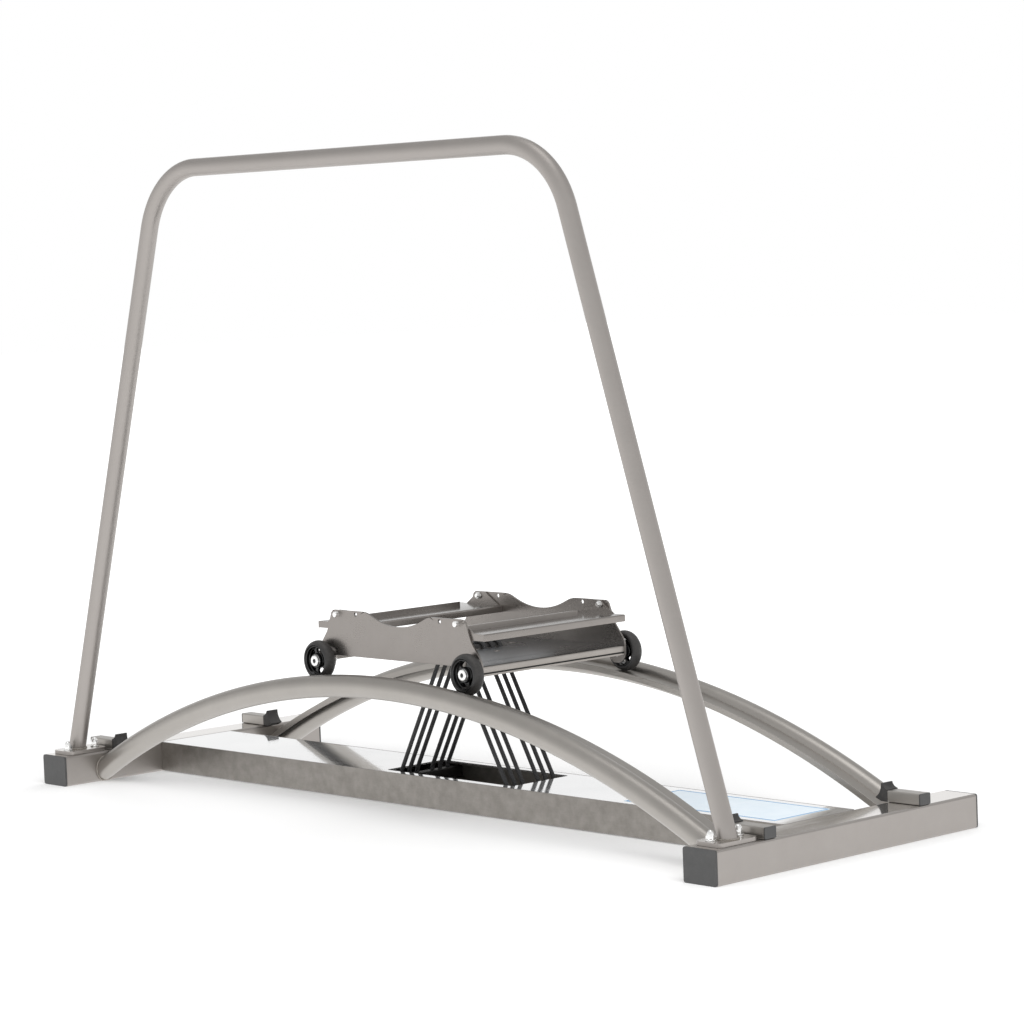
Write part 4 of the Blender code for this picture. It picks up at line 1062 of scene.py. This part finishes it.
def makeAxle(name, spot, end, setup, axle):
    inner = spot.y * end - setup["hubWidth"] / 2 - axle["gap"]
    head = spot.y * end + setup["hubWidth"] / 2 + axle["gap"]
    face = head + axle["head"]
    outer, nut = carriageSetup["plateOuter"] + seatGap, carriageSetup["plateInner"] - seatGap
    back, washer = nut - boltSetup["nutHeight"], nut - axle["washerHeight"]
    cap, radius = axle["capRadius"], axle["headRadius"]
    stations = [(back - axle["cap"], cap * 0.45)]
    for k in range(1, 7):
        turn = math.pi / 2 * k / 6
        stations.append((back - axle["cap"] * (0.55 + 0.45 * math.cos(turn)),
                         cap * (0.45 + 0.55 * math.sin(turn))))
    stations += [(back, cap)] + nutStations(back, washer, boltSetup["nut"])
    stations += [(washer, boltSetup["washer"]), (nut, boltSetup["washer"]),
                 (nut, axle["shaft"]), (outer, axle["shaft"]), (outer, axle["spacer"]),
                 (inner, axle["spacer"]), (inner, axle["shaft"]), (head, axle["shaft"]),
                 (head, radius * 0.97), (head + 0.0004, radius), (face - 0.0012, radius),
                 (face - 0.0005, radius * 0.95), (face - 0.0001, radius * 0.86),
                 (face, radius * 0.76), (face, axle["socket"] * 1.06),
                 (face - 0.0003, axle["socket"], axle["socket"]),
                 (face - axle["socketDepth"], axle["socket"], axle["socket"])]
    centre = (spot.x, 0, spot.z)
    put(f"{name}_axle_bolt", turned(stations, centre, (0, end, 0)), "brightZinc", "carriage",
        f"{name}_axle", sharp=28)
    key = axle["socket"] - 0.0001      # painted shade: a dark plug at the bottom of the socket, standing in for its shadow
    socketShadePlug = [(face - axle["socketDepth"] + 0.0001, key, key), (face - 0.0007, key, key)]
    put(f"{name}_axle_socket_shade", turned(socketShadePlug, centre, (0, end, 0)), "paintedSocketShade", "carriage")


makeWheels(wheelSetup, axleSetup)
print("wheels made")


# Plain panel on the polished plate
def makePanel(setup):
    middle = Vector((*setup["centre"], deck))
    outline = rectangle(setup["length"], setup["width"], setup["corner"])
    bm = bmesh.new()
    sheet = bm.loops.layers.uv.new("panel")
    low, high = ([bm.verts.new(middle + Vector((u, v, level))) for u, v in outline]
                 for level in (setup["lift"], setup["thick"]))
    for k in range(len(outline)):
        bm.faces.new((low[k - 1], low[k], high[k], high[k - 1]))
    bm.faces.new(high)
    bm.faces.new(list(reversed(low)))
    for face in bm.faces:
        for loop in face.loops:
            spot = loop.vert.co - middle
            loop[sheet].uv = (spot.x / setup["length"] + 0.5, spot.y / setup["width"] + 0.5)
    put("plain_panel", bm, "panelPrint", "frame")


makePanel(panel)

# CAD nodes that keep their shape get their finish and softened edges
kept = {
    "beamSteel": {"nodes": ["left_cross_beam", "right_cross_beam"], "edge": 0.0},
    "boxSteel": {"nodes": ["base_box"], "edge": 0.0005},
    "polishedPlate": {"nodes": ["top_plate"], "edge": 0.0004},
    "darkSteelAndGrooveShade": {"nodes": ["left_anchor_bar", "right_anchor_bar"], "edge": 0.0004},
    "railSteel": {"nodes": [f"{place}_{hand}_stop_block" for place, hand in cornerNames], "edge": 0.0},
    "capPlastic": {"nodes": [f"{hand}_{place}_beam_cap" for place, hand in cornerNames]
                   + [f"{place}_{hand}_stop_cap" for place, hand in cornerNames], "edge": 0.0006},
    "saddleRubber": {"nodes": ["cord_saddle"], "edge": 0.0005},
}


def dressKept(groups):
    for finish, look in groups.items():
        for node in look["nodes"]:
            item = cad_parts[node]
            for holder in item.material_slots:
                holder.material = finishes[finish]
            if look["edge"]:
                soften(item, look["edge"])


dressKept(kept)
print("kept nodes dressed")

# Floor, world and lamps
studio = {
    "floorSize": 60.0,
    "glowNear": 0.13,        # share of plain white that the camera sees on the floor near the object
    "glowFar": 0.90,         # and well away from it
    "nearFar": (1.0, 1.7), "glossGlow": 0.74, "glowStrength": 1.42, "floorTone": (250, 250, 250),
    "ambient": 0.64,
    "sky": (0.63, 0.80),     # what metal sees between horizon and zenith, behind and before the object
    "skyTop": 2.4,           # and in a small patch overhead; it sees 1 at the horizon
}
lamps = {
    "key": {"place": (3.4, -1.6, 4.2), "target": (0, 0, 0.3), "size": (3.4, 3.4), "watts": 134},
    "fill": {"place": (-1.6, -4.6, 3.2), "target": (0, 0, 0.4), "size": (4.4, 3.6), "watts": 62},
    "back": {"place": (-2.2, 4.4, 3.4), "target": (0, 0, 0.4), "size": (4.0, 3.4), "watts": 62},
}


def makeFloor(setup):
    bm = bmesh.new()
    bm.faces.new([bm.verts.new((u, v, 0)) for u, v in rectangle(setup["floorSize"], setup["floorSize"], 0)])
    board = newFinish("floorPaint")
    rays = board.node("LightPath")
    spot = board.parts()
    away = (spot * spot * 0.6 + spot.other("Y") * spot.other("Y")) ** 0.5
    share = away.spread(*setup["nearFar"], setup["glowNear"], setup["glowFar"])
    tone = board.mix(board.noise(3.0, 2.0) * 0.3, setup["floorTone"], (253, 253, 253))
    surface = board.node("MixShader", {
        0: rays * share + rays.other("Is Glossy Ray") * setup["glossGlow"],
        1: board.node("BsdfDiffuse", {"Color": tone}),
        2: board.node("Emission", {"Color": (1, 1, 1, 1), "Strength": setup["glowStrength"]})})
    board.node("OutputMaterial", {"Surface": surface})
    finishes["floorPaint"].cycles.emission_sampling = "NONE"
    mesh = meshFrom(bm, "floor")
    mesh.materials.append(finishes["floorPaint"])
    addObject("floor", mesh)


def makeWorld(setup):
    world = bpy.data.worlds.new("studio")
    bpy.context.scene.world = world
    world.use_nodes = True
    board = Board(world.node_tree)
    rays = board.node("LightPath")
    clear = rays.most(rays.other("Is Transmission Ray"))
    way = board.parts("Generated")
    height = way.other("Z")
    before = (way * 0.73 - way.other("Y") * 0.68).spread(-0.25, 0.35, *setup["sky"])
    sky = 1 + height.spread(0.20, 0.45) * (before - 1)
    sky = sky + height.spread(0.94, 0.985) * (setup["skyTop"] - 0.7)
    gloss = rays.other("Is Glossy Ray")
    strength = clear + (1 - clear) * (gloss * sky + (1 - gloss) * setup["ambient"])
    glow = board.node("Background", {"Color": (1, 1, 1, 1), "Strength": strength})
    board.node("OutputWorld", {"Surface": glow})
    world.cycles.sampling_method = "NONE"    # it would light the metal with the ambient share


def makeLamps(plan):
    for name, look in plan.items():
        data = bpy.data.lights.new(name, "AREA")
        data.shape = "RECTANGLE"
        data.size, data.size_y = look["size"]
        data.energy = look["watts"]
        lamp = addObject(name, data)
        lamp.location = look["place"]
        aim = Vector(look["target"]) - Vector(look["place"])
        lamp.rotation_euler = aim.to_track_quat("-Z", "Y").to_euler()
        lamp.visible_glossy = False    # metal mirrors the studio, not the lamps


makeFloor(studio)
makeWorld(studio)
makeLamps(lamps)
bpy.context.scene.view_settings.view_transform = "Standard"
print("studio set")
